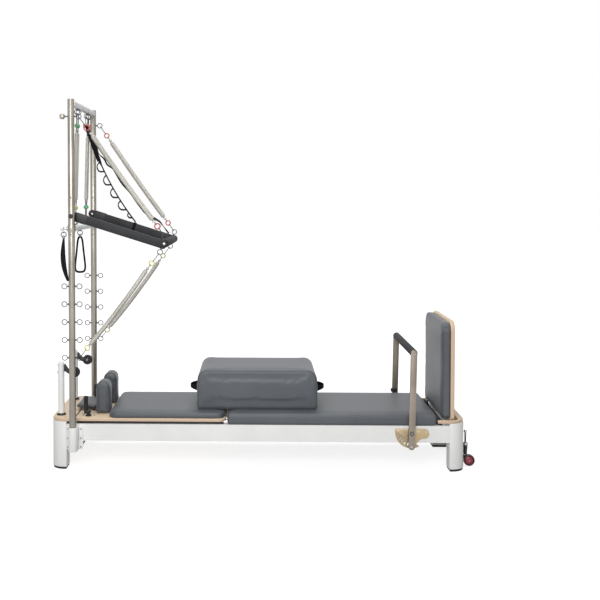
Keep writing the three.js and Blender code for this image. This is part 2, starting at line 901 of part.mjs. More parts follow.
// The clamps that hold the lower crossbar to the posts, with their knobs
function barClamps() {
  return [near, far].flatMap((side) => {
    const y = side * postY;
    const [z0, z1] = [lowBarHeight - collarHeight / 2, lowBarHeight + collarHeight / 2];
    const ring = cut(
      barUp(postX, y, z0, z1, collarRadius, roundSides),
      barUp(postX, y, z0 - overrun, z1 + overrun, postRadius + seatGap, roundSides),
    );
    const [x, knobX] = [postX - collarRadius + bite, postX - knobReach];
    return [
      ring,
      barAlong(y, lowBarHeight, x, knobX, knobShankRadius),
      barAlong(y, lowBarHeight, knobX, knobX - knobLength, knobRadius),
    ];
  });
}

// Where the push-through bar's far end lies, and a place on the bar measured from its pivot
const drop = pushBarDropDegrees * Math.PI / 180;
const pushWay = at(Math.cos(drop), 0, -Math.sin(drop));
const pushUp = at(Math.sin(drop), 0, Math.cos(drop));
function onPushBar(side, along, up) {
  return at(postX, side * armY, pivotHeight).addScaledVector(pushWay, along).addScaledVector(pushUp, up);
}

// Push-through bar: two flat arms joined by a tube at their free ends, with four eyes
function pushBar(eyes) {
  const half = pushArmHeight / 2;
  const arms = [near, far].map((side) => {
    const outline = roundedPoints(-half, pushBarLength, -half, half, [half, half / 2, half / 2, half]);
    const y = side * armY;
    const arm = across(shapeOf(outline), -pushArmThickness / 2, pushArmThickness / 2);
    const hole = barAcross(0, 0, -pushArmThickness, pushArmThickness, pivotPinRadius + pivotClearance);
    return cut(arm, hole).rotateY(drop).translate(postX, y, pivotHeight);
  });
  const tubeRun = rod(onPushBar(near, pushBarLength - half / 2, pushTubeLift),
    onPushBar(far, pushBarLength - half / 2, pushTubeLift), pushTubeRadius, roundSides);
  return join(...arms, tubeRun, ...eyes.flat());
}

// Foam sleeve on the push-through bar's tube
function pushGrip() {
  const along = pushBarLength - pushArmHeight / 4;
  const from = onPushBar(near, along, pushTubeLift);
  const to = onPushBar(far, along, pushTubeLift);
  const half = armY - pushArmThickness / 2 - seatGap;
  const sleeve = barAcross(from.x, from.z, -half, half, pushGripRadius, roundSides);
  return cut(sleeve, rod(from, to, pushTubeRadius + seatGap, roundSides));
}

// Pivot pin of the push-through bar, with its knob outside the post
function pushPivot(side) {
  const inner = side * (armY - pushArmThickness / 2 - seatGap);
  const outer = side * (postY + postRadius + seatGap);
  const knobEnd = outer + side * pivotKnobLength;
  return join(
    barAcross(postX, pivotHeight, inner - side * pivotHeadLength, inner, pivotHeadRadius),
    barAcross(postX, pivotHeight, inner - side * bite, outer + side * bite, pivotPinRadius),
    barAcross(postX, pivotHeight, outer, knobEnd, pivotKnobRadius, roundSides),
  );
}

// Safety strap of the far arm: from an eye on the top crossbar down to the arm, with a row of
// small loops along its underside and a turn round the arm
function farStrap(top) {
  const gap = seatGap + strapThickness / 2;
  const half = pushArmHeight / 2 + gap;
  const thick = pushArmThickness / 2 + gap;
  const around = [[1, 1], [1, -1], [-1, -1], [-1, 1]].map(([up, out]) => onPushBar(far, farStrapAlong,
    up * half).add(at(0, out * thick, 0)));
  const collar = band(around, pushWay, strapWidth, strapThickness, true);
  const start = top.clone().add(at(0, 0, -eyeRadius - eyeWire - seatGap));
  const way = onPushBar(far, farStrapAlong, half).sub(start).normalize();
  const side = alongY.clone().addScaledVector(way, -alongY.dot(way)).normalize();
  const under = way.clone().cross(side).normalize();
  if (under.z > 0) {
    under.negate();
  }
  const lift = (strapWidth * Math.abs(side.dot(pushUp)) + strapThickness * Math.abs(under.dot(pushUp))) / 2;
  const foot = onPushBar(far, farStrapAlong, pushArmHeight / 2 + seatGap + lift);
  const main = band([start, foot], side, strapWidth, strapThickness);
  const length = start.distanceTo(foot);
  const [firstLoop, lastLoop] = [length * strapLoopFirstShare, length - strapLoopClear - strapLoopLength];
  const loops = Array.from({ length: strapLoops }, (_, index) => {
    const along = firstLoop + (lastLoop - firstLoop) * index / (strapLoops - 1);
    const from = start.clone().lerp(foot, along / length);
    const shares = [[0, 0], [0.2, 0.9], [0.8, 1], [1, 0]];
    const route = shares.map(([ahead, away]) => from.clone()
      .addScaledVector(way, ahead * strapLoopLength)
      .addScaledVector(under, away * strapLoopReach));
    return band(route, side, strapWidth, strapThickness);
  });
  return join(collar, main, ...loops);
}

// Safety strap of the near side: it starts at the underside of the upper spring's eye, hangs
// slack under the spring and ends at the underside of the bar's eye
function nearStrap(from, to) {
  const way = to.clone().sub(from).normalize();
  const side = alongY.clone().addScaledVector(way, -alongY.dot(way)).normalize();
  const under = way.clone().cross(side).normalize();
  if (under.z > 0) {
    under.negate();
  }
  const below = eyeRadius * Math.cos(Math.PI / eyeSteps) + eyeWire + seatGap + strapThickness / 2;
  const route = Array.from({ length: strapSteps + 1 }, (_, step) => {
    const share = step / strapSteps;
    const slack = 4 * nearStrapSag * share * (1 - share);
    return from.clone().lerp(to, share).addScaledVector(under, below + slack);
  });
  return band(route, side, strapWidth, strapThickness);
}

// Foot loop: a hook through an eye and a band that hangs from it
function footLoop(eyeCentre, loopHalf) {
  const top = eyeCentre.clone().add(at(0, 0, -hookSeat));
  const hookEnd = top.clone().add(at(0, 0, -loopHookLength));
  const hook = tube(longLoop(top, hookEnd, alongY, hookHalfWidth), hookWire, wireSides, true, alongX);
  const start = hookEnd.clone();
  const shares = [[0, 0], [0.35, 0.14], [0.72, 0.42], [1, 0.72], [0.86, 0.9], [0.42, 1]];
  const right = shares.map(([out, low]) => at(out * loopHalf, 0, -low * footLoopDrop).add(start));
  const left = shares.slice(1).toReversed().map(([out, low]) => at(-out * loopHalf, 0,
    -low * footLoopDrop).add(start));
  return join(hook, band([...right, ...left], alongY, footLoopBand, footLoopThickness, true));
}

// White pulley riser on the head deck, with a domed top
function pulleyRiser(side) {
  const [x, y] = [headEnd + riserInset, side * (halfWidth - riserFromSide)];
  const flangeTop = headDeckTop + riserFlangeHeight;
  const dome = riserDomeShares.map(([out, down]) => [riserRadius * out, riserTop - riserRadius * down]);
  const profile = [[0, headDeckTop], [riserFlangeRadius, headDeckTop], [riserFlangeRadius, flangeTop],
    [riserRadius, flangeTop], ...dome];
  const body = new THREE.LatheGeometry(profile.map(([r, z]) => new THREE.Vector2(r, z)), roundSides)
    .rotateX(Math.PI / 2).translate(x, y, 0);
  const boltEnd = x - riserRadius - riserBoltReach;
  const levels = [pulleyArmTop - deepBite, pulleyArmBottom + pulleySeatDepth];
  const bolts = levels.map((z) => barAlong(y, z, x, boltEnd, riserBoltRadius, fewSides));
  return join(body, ...bolts);
}

// Bracket that slants down from the riser to the pulley, with two cheeks and the axle
function pulleyArm(side) {
  const [x, y] = [headEnd + riserInset, side * (halfWidth - riserFromSide)];
  const half = pulleyWidth / 2 + seatGap;
  const seat = x + riserRadius + seatGap;
  const axleX = x + pulleyReach;
  const cheeks = [-1, 1].map((way) => {
    const y0 = y + way * half;
    const y1 = y0 + way * pulleyCheek;
    const outline = [[seat, pulleyArmTop], [seat, pulleyArmBottom],
      [axleX, pulleyHeight - pulleyCheekHalf], [axleX + pulleyCheekHalf, pulleyHeight],
      [axleX, pulleyHeight + pulleyCheekHalf]].map(([px, pz]) => new THREE.Vector2(px, pz));
    return across(shapeOf(outline), Math.min(y0, y1), Math.max(y0, y1));
  });
  const back = block(seat, seat + pulleySeatDepth, y - half - pulleyCheek, y + half + pulleyCheek,
    pulleyArmBottom, pulleyArmTop);
  const axle = barAcross(axleX, pulleyHeight, y - half - bite, y + half + bite, pulleyAxle);
  return join(...cheeks, back, axle);
}

// Grooved pulley wheel
function pulleyWheel(side) {
  const [x, y] = [headEnd + riserInset + pulleyReach, side * (halfWidth - riserFromSide)];
  const half = pulleyWidth / 2;
  const bore = pulleyAxle + pivotClearance;
  const profile = [[bore, -half], [pulleyRadius, -half], [pulleyRadius - pulleyGroove, 0],
    [pulleyRadius, half], [bore, half], [bore, -half]];
  return new THREE.LatheGeometry(profile.map(([r, h]) => new THREE.Vector2(r, h)), roundSides)
    .translate(x, y, pulleyHeight);
}

// Plywood carriage board with its wheel hangers, strap pegs and cord cleats
function carriageBoard() {
  const y = halfWidth - boardInset;
  const board = upright(shapeOf(roundedPoints(boardStart, boardEnd, -y, y,
    [0, boardCorner, boardCorner, 0])), boardBottom, boardTop);
  const parts = [board];
  const holes = [];
  const inner = halfWidth - railThickness - trackDepth - hangerInset;
  [boardStart + axleFromEnd, boardEnd - axleFromEnd].forEach((x) => {
    [near, far].forEach((side) => {
      const y0 = side * inner;
      parts.push(block(x - hangerWidth / 2, x + hangerWidth / 2, y0, y0 + side * hangerThickness,
        axleHeight - hangerDrop, boardBottom + bite));
      holes.push(block(x - axleRadius - pivotClearance, x + axleRadius + pivotClearance,
        y0 - side * overrun, y0 + side * (hangerThickness + overrun),
        axleHeight - hangerDrop - overrun, axleHeight + axleRadius + pivotClearance));
    });
  });
  [near, far].forEach((side) => {
    const [pegX, cleatX] = [boardStart + strapPegFromEnd, boardStart + cleatFromEnd];
    const seat = boardTop - bite;
    parts.push(barUp(pegX, side * strapPegSpread, seat, boardTop + strapPegHeight, strapPegRadius));
    parts.push(barUp(cleatX, side * cleatSpread, seat, boardTop + cleatHeight, cleatRadius));
    restPegs(side).forEach(([px, py]) => {
      const holeBottom = boardTop - restPegDepth - runGap;
      holes.push(barUp(px, py, holeBottom, boardTop + overrun, restPegRadius + runGap));
    });
  });
  return cut(join(...parts), ...holes);
}

// Where a shoulder rest's two pegs stand
function restPegs(side) {
  const y = side * (restNear + restWidth / 2);
  const x = boardStart + restStart;
  return [[x + restPegInset, y], [x + restLength - restPegInset, y]];
}

// Shoulder rest: an upholstered block with an arched top, on two pegs
function shoulderRest(side) {
  const x = boardStart + restStart;
  const z = boardTop + seatGap;
  const arch = restLength / 2;
  const body = cushion({
    u: [x, x + restLength], v: [z, z + restHeight], corners: [restFoot, restFoot, arch, arch],
    depth: restWidth - 2 * restCrown, roll: restRoll, backRoll: restRoll, crown: restCrown,
    backCrown: restCrown, cornerSteps: 2,
  }).rotateX(Math.PI / 2);
  const outer = side < 0 ? -restNear - restCrown : restNear + restWidth - restCrown;
  body.translate(0, outer, 0);
  const pegBottom = boardTop - restPegDepth;
  const pegs = restPegs(side).map(([px, py]) => barUp(px, py, pegBottom, z + restFoot, restPegRadius));
  return join(body, ...pegs);
}

// Headrest on its hinge block
function headrest() {
  const x0 = boardStart + headrestStart;
  const z = boardTop + headrestLift;
  const pad = cushion({
    u: [x0, x0 + headrestLength], v: [-headrestHalf, headrestHalf],
    corners: Array(4).fill(headrestCorner), depth: headrestThickness, roll: headrestRoll,
    crown: headrestCrown,
  }).translate(0, 0, z);
  const hingeBlock = block(x0 + headrestLength - headrestBlock, x0 + headrestLength,
    -headrestBlockHalf, headrestBlockHalf, boardTop + seatGap, z + headrestRoll);
  return join(pad, hingeBlock);
}

// A pair of carriage wheels on their axle
function wheelPair(x) {
  const y = halfWidth - railThickness - trackDepth / 2;
  const [y0, y1] = [y - wheelWidth / 2, y + wheelWidth / 2];
  const wheels = [near, far].map((side) => {
    return barAcross(x, axleHeight, side * y0, side * y1, wheelRadius, roundSides);
  });
  return join(...wheels, barAcross(x, axleHeight, -y, y, axleRadius));
}

// Five carriage springs on the anchor under the carriage, reaching to the spring bar
function carriageSpringSet() {
  const x = boardEnd - anchorFromEnd;
  const endX = footEnd - springBarFromFoot - springBarThickness;
  const anchor = block(x - anchorThickness, x, -anchorHalf, anchorHalf,
    carriageSpringHeight - anchorDepth, boardBottom - seatGap);
  const springs = Array.from({ length: carriageSprings }, (_, index) => {
    const y = (index - (carriageSprings - 1) / 2) * carriageSpringPitch;
    const z = carriageSpringHeight;
    return [
      barAlong(y, z, x - bite, endX, carriageSpringRadius),
      barUp(endX - deepBite, y, z - carriageHookDrop, z, carriageHookRadius, fewSides),
    ];
  });
  return join(anchor, ...springs.flat());
}

// Notched spring bar between the rails
function springBar() {
  const x = footEnd - springBarFromFoot;
  const y = halfWidth - railThickness;
  return block(x, x + springBarThickness, -y, y, trackTop, trackTop + springBarHeight);
}

// Carriage upholstery
function carriageCushion() {
  const y = halfWidth - cushionInset;
  return cushion({
    u: [boardStart + cushionStart, boardEnd - cushionEndInset], v: [-y, y],
    corners: Array(4).fill(cushionCorner), depth: cushionThickness, roll: cushionRoll,
    crown: cushionCrown,
  }).translate(0, 0, cushionBase);
}

// Mat extension that fills the frame from the carriage to the foot deck
function matExtension() {
  return cushion({
    u: [matStart, matEnd], v: [-halfWidth, halfWidth], corners: Array(4).fill(matCorner),
    depth: matThickness, roll: matRoll, drawIn: matDrawIn, crown: matCrown,
  }).translate(0, 0, matBase);
}

// Sitting box with a web handle at each end
function sittingBox() {
  const x0 = matStart - boxOverCarriage;
  const x1 = x0 + boxLength;
  const body = cushion({
    u: [x0, x1], v: [boxBase, boxBase + boxHeight],
    corners: [boxBottomCorner, boxBottomCorner, boxTopCorner, boxTopCorner],
    depth: 2 * (boxHalfWidth - boxCrown), roll: boxRoll, backRoll: boxRoll,
    crown: boxCrown, backCrown: boxCrown,
  }).rotateX(Math.PI / 2).translate(0, boxHalfWidth - boxCrown, 0);
  const shares = [[-0.15, 1], [0.55, 0.9], [1, 0.55], [1, -0.55], [0.55, -0.9], [-0.15, -1]];
  const handles = [[x0, -1], [x1, 1]].map(([x, way]) => {
    const z = boxBase + handleHeight;
    const route = shares.map(([out, y]) => at(x + way * out * handleReach, y * handleHalf, z));
    return band(route, alongZ, handleWidth, handleThickness);
  });
  return join(body, ...handles);
}

// Jump board: a plywood back with two tongues, and its cushion
function jumpPanel() {
  const outline = roundedPoints(-jumpHalfWidth, jumpHalfWidth, jumpBottom, jumpTop,
    [jumpBottomCorner, jumpBottomCorner, jumpTopCorner, jumpTopCorner]);
  const panel = lengthways(shapeOf(outline), panelBack - jumpPanelThickness, panelBack);
  const tongues = [near, far].map((side) => block(panelBack - jumpPanelThickness, panelBack,
    side * tongueSpread - tongueHalf, side * tongueSpread + tongueHalf, tongueBottom, jumpBottom + bite));
  return join(panel, ...tongues);
}

function jumpCushion() {
  const rim = jumpCushionRim;
  const face = panelBack - jumpPanelThickness - seatGap;
  const turn = new THREE.Matrix4().makeBasis(alongY.clone().negate(), alongZ, alongX.clone().negate());
  return cushion({
    u: [-jumpHalfWidth + rim, jumpHalfWidth - rim], v: [jumpBottom + rim, jumpTop - rim],
    corners: [jumpBottomCorner, jumpBottomCorner, jumpTopCorner, jumpTopCorner],
    depth: jumpCushionThickness, roll: jumpRoll, drawIn: jumpDrawIn, crown: jumpCushionCrown,
  }).applyMatrix4(turn).translate(face, 0, 0);
}

// Plate on the rail that carries a footbar arm: a slotted sector, a lug and the pivot pin
function footbarPlate(side) {
  const face = side * (halfWidth + seatGap);
  const outer = face + side * plateThickness;
  const [y0, y1] = [Math.min(face, outer), Math.max(face, outer)];
  const sector = new THREE.Shape();
  sector.moveTo(footbarX, footbarPivot + plateHubRadius);
  sector.absarc(footbarX, footbarPivot, sectorRadius, Math.PI, Math.PI * 1.5, false);
  sector.lineTo(footbarX + plateLugLength, footbarPivot - plateLugHeight);
  sector.lineTo(footbarX + plateLugLength, footbarPivot);
  sector.lineTo(footbarX + plateHubRadius, footbarPivot + plateHubRadius);
  const slots = slotAnglesDegrees.map((degrees) => {
    const angle = degrees * Math.PI / 180;
    const [x, z] = [footbarX + slotAt * Math.cos(angle), footbarPivot + slotAt * Math.sin(angle)];
    return barAcross(x, z, y0 - overrun, y1 + overrun, slotRadius);
  });
  const armInner = side * (footbarArmY - footbarArmThickness / 2 - seatGap);
  const armOuter = side * (footbarArmY + footbarArmThickness / 2 + seatGap);
  const pinEnd = armOuter + side * footbarBoltLength;
  const pin = [
    [outer - side * bite, armInner, footbarPinHead],
    [armInner - side * bite, armOuter + side * bite, footbarPinRadius],
    [armOuter, pinEnd, footbarPinHead],
  ].map(([from, to, radius]) => barAcross(footbarX, footbarPivot, from, to, radius));
  return join(cut(across(sector, y0, y1), ...slots), ...pin);
}

// Footbar: two flat arms, the tube between them, their bolts and tail pins
function footbarFrame() {
  const half = footbarArmWidth / 2;
  const top = at(footbarX + footbarLean, 0, footbarPivot + footbarRise);
  const lean = Math.atan2(footbarLean, footbarRise);
  const length = Math.hypot(footbarLean, footbarRise);
  const parts = [near, far].flatMap((side) => {
    const y = side * footbarArmY;
    const outline = roundedPoints(-half, half, -footbarTail - half, length + half, [half, half, half, half]);
    const arm = cut(
      across(shapeOf(outline), -footbarArmThickness / 2, footbarArmThickness / 2),
      barAcross(0, 0, -footbarArmThickness, footbarArmThickness, footbarPinRadius + pivotClearance),
    ).rotateY(lean).translate(footbarX, y, footbarPivot);
    const bolt = y + side * (footbarArmThickness / 2 + footbarBoltLength);
    const [pinX, pinZ] = [footbarX - tailPinDrop * Math.sin(lean), footbarPivot - tailPinDrop];
    const pinEnd = side * (halfWidth + seatGap + plateThickness + runGap);
    return [
      arm,
      barAcross(top.x, top.z, y, bolt, footbarBoltRadius),
      barAcross(pinX, pinZ, y, pinEnd, tailPinRadius),
    ];
  });
  parts.push(barAcross(top.x, top.z, -footbarArmY, footbarArmY, footbarTubeRadius, roundSides));
  return join(...parts);
}

// Foam sleeve on the footbar's tube
function footbarGrip() {
  const reach = footbarArmY - footbarArmThickness / 2 - seatGap;
  const [x, z] = [footbarX + footbarLean, footbarPivot + footbarRise];
  return cut(
    barAcross(x, z, -reach, reach, footbarGripRadius, roundSides),
    barAcross(x, z, -reach - overrun, reach + overrun, footbarTubeRadius + seatGap, roundSides),
  );
}

// Transport wheel's bracket on the foot beam, with its damper and pull knob
function wheelBracket(side) {
  const face = footEnd - footBeamInset + seatGap;
  const plateX = face + transportPlate;
  const y = side * transportFromMiddle;
  const wheelX = face + transportReach;
  const half = transportWidth / 2 + runGap;
  const parts = [block(face, plateX, y - transportPlateHalf, y + transportPlateHalf,
    transportPlateBottom, transportPlateTop)];
  [-1, 1].forEach((way) => {
    const y0 = y + way * half;
    parts.push(block(plateX - bite, wheelX + earHalf, y0, y0 + way * earThickness,
      transportHeight - earHalf, transportPlateBottom + earHalf));
    parts.push(block(face, plateX, y0, y0 + way * earThickness,
      transportHeight - earHalf, transportPlateBottom + earHalf));
  });
  const damperX = face + damperReach;
  const damperHalf = damperRadius / 2;
  parts.push(barAcross(wheelX, transportHeight, y - half - bite, y + half + bite, transportAxle));
  parts.push(barUp(damperX, y, damperBottom, damperTop, damperRadius));
  parts.push(block(face, damperX, y - damperHalf, y + damperHalf, damperBottom, damperTop));
  parts.push(barUp(damperX, y, damperTop - bite, damperTop + damperCap, damperCapRadius));
  parts.push(barAlong(y, pullKnobHeight, face, plateX + pullKnobReach, pullKnobRadius));
  return join(...parts);
}

function transportWheel(side) {
  const x = footEnd - footBeamInset + seatGap + transportReach;
  const y = side * transportFromMiddle;
  const half = transportWidth / 2;
  const bore = transportAxle + pivotClearance;
  const profile = [[bore, -half], [transportRadius - padInset, -half], [transportRadius, -half + padInset],
    [transportRadius, half - padInset], [transportRadius - padInset, half], [bore, half], [bore, -half]];
  return new THREE.LatheGeometry(profile.map(([r, h]) => new THREE.Vector2(r, h)), roundSides)
    .translate(x, y, transportHeight);
}

// Frame, decks and tower
[['near', near], ['far', far]].forEach(([word, side]) => {
  add(`side_rail_${word}`, sideRail(side), 'whitePaint');
  add(`leg_head_${word}`, leg(-1, side, headLegTop), 'whitePaint');
  add(`leg_foot_${word}`, leg(1, side, footLegTop), 'whitePaint');
  add(`post_socket_${word}`, postSocket(side), 'whitePaint');
  add(`pulley_riser_${word}`, pulleyRiser(side), 'whitePaint');
  add(`pulley_arm_${word}`, pulleyArm(side), 'charcoal');
  add(`pulley_wheel_${word}`, pulleyWheel(side), 'black');
  add(`push_bar_pivot_${word}`, pushPivot(side), 'black');
  add(`footbar_plate_${word}`, footbarPlate(side), 'plate');
  add(`transport_bracket_${word}`, wheelBracket(side), 'charcoal');
  add(`transport_wheel_${word}`, transportWheel(side), 'rubber');
  add(`shoulder_rest_${word}`, shoulderRest(side), 'upholstery');
});
add('head_beam', endBeam(headEnd + headBeamInset, headEnd + headBeamInset + beamThickness), 'whitePaint');
add('foot_beam', footBeam(), 'whitePaint');
add('head_deck', headDeck(), 'plywood');
add('foot_deck', footDeck(), 'plywood');

// The springs run between eyes, so the eyes' places come first
const eyePairs = [near, far].map((side) => ({
  side,
  topEye: at(postX + eyeReach, side * postY, eyeHighest),
  lowEye: at(postX + eyeReach, side * postY, eyeLowest),
  barTop: onPushBar(side, pushBarLength - upperEyeBack, pushArmHeight / 2 + pushEyeRise),
  barLow: onPushBar(side, pushBarLength - lowerEyeBack, -pushArmHeight / 2 - pushEyeRise),
}));
const barEyes = [];
const shankDepth = pushEyeRise + deepBite;
eyePairs.forEach(({ side, topEye, lowEye, barTop, barLow }) => {
  const word = side < 0 ? 'near' : 'far';
  const upperWay = barTop.clone().sub(topEye).normalize();
  const lowerWay = lowEye.clone().sub(barLow).normalize();
  const pulls = new Map([[eyeHighest, upperWay], [eyeLowest, lowerWay.clone().negate()]]);
  add(`tower_post_${word}`, towerPost(side, pulls), 'stainless');
  add(`upper_spring_${word}`, spring(`upper_spring_${word}`, topEye, barTop, alongY, upperSpring), 'silver');
  add(`lower_spring_${word}`, spring(`lower_spring_${word}`, barLow, lowEye, alongY, lowerSpring), 'silver');
  barEyes.push(
    eye(barTop, alongY, upperWay.clone().negate(), barTop.clone().addScaledVector(pushUp, -shankDepth)),
    eye(barLow, alongY, lowerWay, barLow.clone().addScaledVector(pushUp, shankDepth)),
  );
});
add('push_bar_frame', pushBar(barEyes), 'charcoal');
add('push_bar_grip', pushGrip(), 'rubber');

// Crossbars and the springs that hang between them
const topEyes = [];
const lowEyes = [];
hangingTops.forEach((y, index) => {
  const top = at(postX, y, topBarHeight - crossbarRadius - boltRise);
  const bottom = at(postX, y - hangingLean, lowBarHeight + crossbarRadius + boltRise);
  const way = bottom.clone().sub(top).normalize();
  const name = `hanging_spring_${index + 1}`;
  add(name, spring(name, top, bottom, alongX, hangingSpring), 'silver');
  topEyes.push(eye(top, alongX, way, at(postX, y, topBarHeight)));
  lowEyes.push(eye(bottom, alongX, way.clone().negate(), at(postX, bottom.y, lowBarHeight)));
});
const strapEye = at(postX, farStrapTop, topBarHeight - crossbarRadius - boltRise);
topEyes.push(eye(strapEye, alongY, alongZ.clone().negate(), at(postX, farStrapTop, topBarHeight)));
const loopEye = at(postX, footLoopY, lowBarHeight - footLoopEye);
const sideEye = at(postX - sideEyeReach, -postY, lowBarHeight - footLoopEye);
lowEyes.push(
  eye(loopEye, alongY, alongZ.clone().negate(), at(postX, footLoopY, lowBarHeight)),
  eye(sideEye, alongY, alongZ.clone().negate(), at(postX - sideEyeReach, -postY, lowBarHeight)),
);
add('top_crossbar', crossbar(topBarHeight, topEyes, topNutShares), 'silver');
add('lower_crossbar', crossbar(lowBarHeight, lowEyes, [], barClamps()), 'whitePaint');
add('safety_strap_far', farStrap(strapEye), 'webbing');
add('safety_strap_near', nearStrap(eyePairs[0].topEye, eyePairs[0].barTop), 'webbing');
add('foot_loop_inner', footLoop(loopEye, footLoopHalfWidth), 'webbing');
add('foot_loop_outer', footLoop(sideEye, sideLoopHalfWidth), 'webbing');

// Carriage and what stands on it
add('carriage_board', carriageBoard(), 'plywood');
add('carriage_cushion', carriageCushion(), 'upholstery');
add('headrest', headrest(), 'upholstery');
add('carriage_wheels_head', wheelPair(boardStart + axleFromEnd), 'rubber');
add('carriage_wheels_foot', wheelPair(boardEnd - axleFromEnd), 'rubber');
add('carriage_spring_set', carriageSpringSet(), 'silver');
add('spring_bar', springBar(), 'silver');

// Mat, sitting box, jump board and footbar
add('mat_extension', matExtension(), 'upholstery');
add('sitting_box', sittingBox(), 'upholstery');
add('jump_board_panel', jumpPanel(), 'plywood');
add('jump_board_cushion', jumpCushion(), 'upholstery');
add('footbar_frame', footbarFrame(), 'stainless');
add('footbar_grip', footbarGrip(), 'rubber');

// The origin is the middle of the whole part, on the floor
group.updateMatrixWorld(true);
const bounds = new THREE.Box3().setFromObject(group);
group.position.x = -(bounds.min.x + bounds.max.x) / 2;

export default group;
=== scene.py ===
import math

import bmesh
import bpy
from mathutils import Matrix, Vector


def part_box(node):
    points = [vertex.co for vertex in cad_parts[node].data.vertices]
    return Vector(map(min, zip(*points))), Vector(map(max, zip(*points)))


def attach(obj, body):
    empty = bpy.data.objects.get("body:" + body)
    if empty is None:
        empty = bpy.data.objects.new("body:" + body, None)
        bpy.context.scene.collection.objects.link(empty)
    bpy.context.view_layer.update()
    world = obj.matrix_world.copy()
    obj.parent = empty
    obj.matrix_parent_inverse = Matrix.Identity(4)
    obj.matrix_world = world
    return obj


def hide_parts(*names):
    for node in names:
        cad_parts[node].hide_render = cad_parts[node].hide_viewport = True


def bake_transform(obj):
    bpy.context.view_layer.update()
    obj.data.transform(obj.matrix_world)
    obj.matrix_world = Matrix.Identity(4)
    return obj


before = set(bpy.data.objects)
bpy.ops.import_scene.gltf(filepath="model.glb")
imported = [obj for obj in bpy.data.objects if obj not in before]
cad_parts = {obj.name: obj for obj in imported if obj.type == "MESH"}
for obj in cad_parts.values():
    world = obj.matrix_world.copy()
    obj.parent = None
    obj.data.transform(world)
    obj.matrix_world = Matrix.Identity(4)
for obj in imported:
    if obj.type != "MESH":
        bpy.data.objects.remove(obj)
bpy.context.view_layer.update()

# %% [markdown]
# A pilates tower unit: a low reformer frame with a padded carriage, a long mat, a sitting box,
# a jump board and a footbar, and at its head end a tall half trapeze of two steel posts with
# springs and straps. The measured parts are loaded above. This lesson dresses them one by one
# with rounded edges, wound springs, stuffed upholstery and real finishes.

# %% [markdown]
# The parts are drawn in metres, but a maker thinks in millimetres from the middle of the rails.
# The middle of a side rail gives that zero, and one helper turns a place in millimetres into a
# point of the scene. Measuring the zero is safer than typing it, because it follows the parts.

# %% Places in millimetres from the middle of the frame
rail_low, rail_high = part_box("side_rail_near")
middle = (rail_low.x + rail_high.x) / 2


def spot(x, y, z):
    """The point of the scene at x, y, z millimetres from the middle of the rails."""
    return Vector((middle + x / 1000, y / 1000, z / 1000))


def turned(point, degrees, pivot):
    """A point in millimetres, turned about the Y axis through the pivot."""
    turn = Matrix.Rotation(math.radians(degrees), 3, "Y")
    return tuple(turn @ (Vector(point) - Vector(pivot)) + Vector(pivot))


print("middle of the rails at x =", round(middle, 5), "m")

# %% [markdown]
# Blender opens with a cube, a lamp and a camera. They go first, so that nothing stands in the
# picture that this lesson didn't make.

# %% An empty studio
for name in ("Cube", "Light", "Camera"):
    if name in bpy.data.objects:
        bpy.data.objects.remove(bpy.data.objects[name])

# %% [markdown]
# The camera comes first, so that every later step can be looked at from the same place. The
# unit was seen from about 5.8 m in front of it and 1.6 m up, turned a little to the left and
# a little down. A lens of 57 mm and a small shift give the same outline as in the picture.

# %% The camera
camera_data = bpy.data.cameras.new("camera")
camera = bpy.data.objects.new("camera", camera_data)
bpy.context.scene.collection.objects.link(camera)
camera.location = spot(-6.94, -5849.69, 1615.46)
camera.rotation_euler = (math.radians(90) - 0.0355, 0, 0.0252)
camera_data.lens = 57.14
camera_data.sensor_width = 36
camera_data.shift_x = 0.1130
camera_data.shift_y = -0.1191
camera_data.clip_end = 100
bpy.context.scene.camera = camera
print("camera at", tuple(round(c, 3) for c in camera.location))

# %% [markdown]
# The floor, the world and every finish are small trees of nodes. One helper makes a node, sets
# its values and joins what feeds it, so that every later recipe stays short.

# %% Wiring nodes
def add_node(tree, kind, feeds=(), **values):
    """A node with its settings and input values, fed in order by the given outputs."""
    node = tree.nodes.new("ShaderNode" + kind)
    for key, value in values.items():
        entry = key.replace("_", " ")
        if entry in node.inputs:
            node.inputs[entry].default_value = value
        else:
            setattr(node, key, value)
    for feed, entry in zip(feeds, node.inputs):
        tree.links.new(feed, entry)
    return node


def seen_by(tree, *kinds):
    """One for light rays of the given kinds, zero for all others."""
    rays = add_node(tree, "LightPath").outputs
    found = rays[f"Is {kinds[0]} Ray"]
    for kind in kinds[1:]:
        found = add_node(tree, "Math", [found, rays[f"Is {kind} Ray"]], operation="MAXIMUM").outputs[0]
    return found


print("nodes can be wired")

# %% [markdown]
# A studio has a pale floor and large soft lamps. Two lamps stand beside the camera and one hangs
# above, so fronts and tops are bright and the sides of the legs stay darker. The world is white
# to the eye and to reflections, but dim as a light. The floor glows only for the eye and for
# reflections, and more so away from the unit, so it ends in white and keeps the soft shadow.

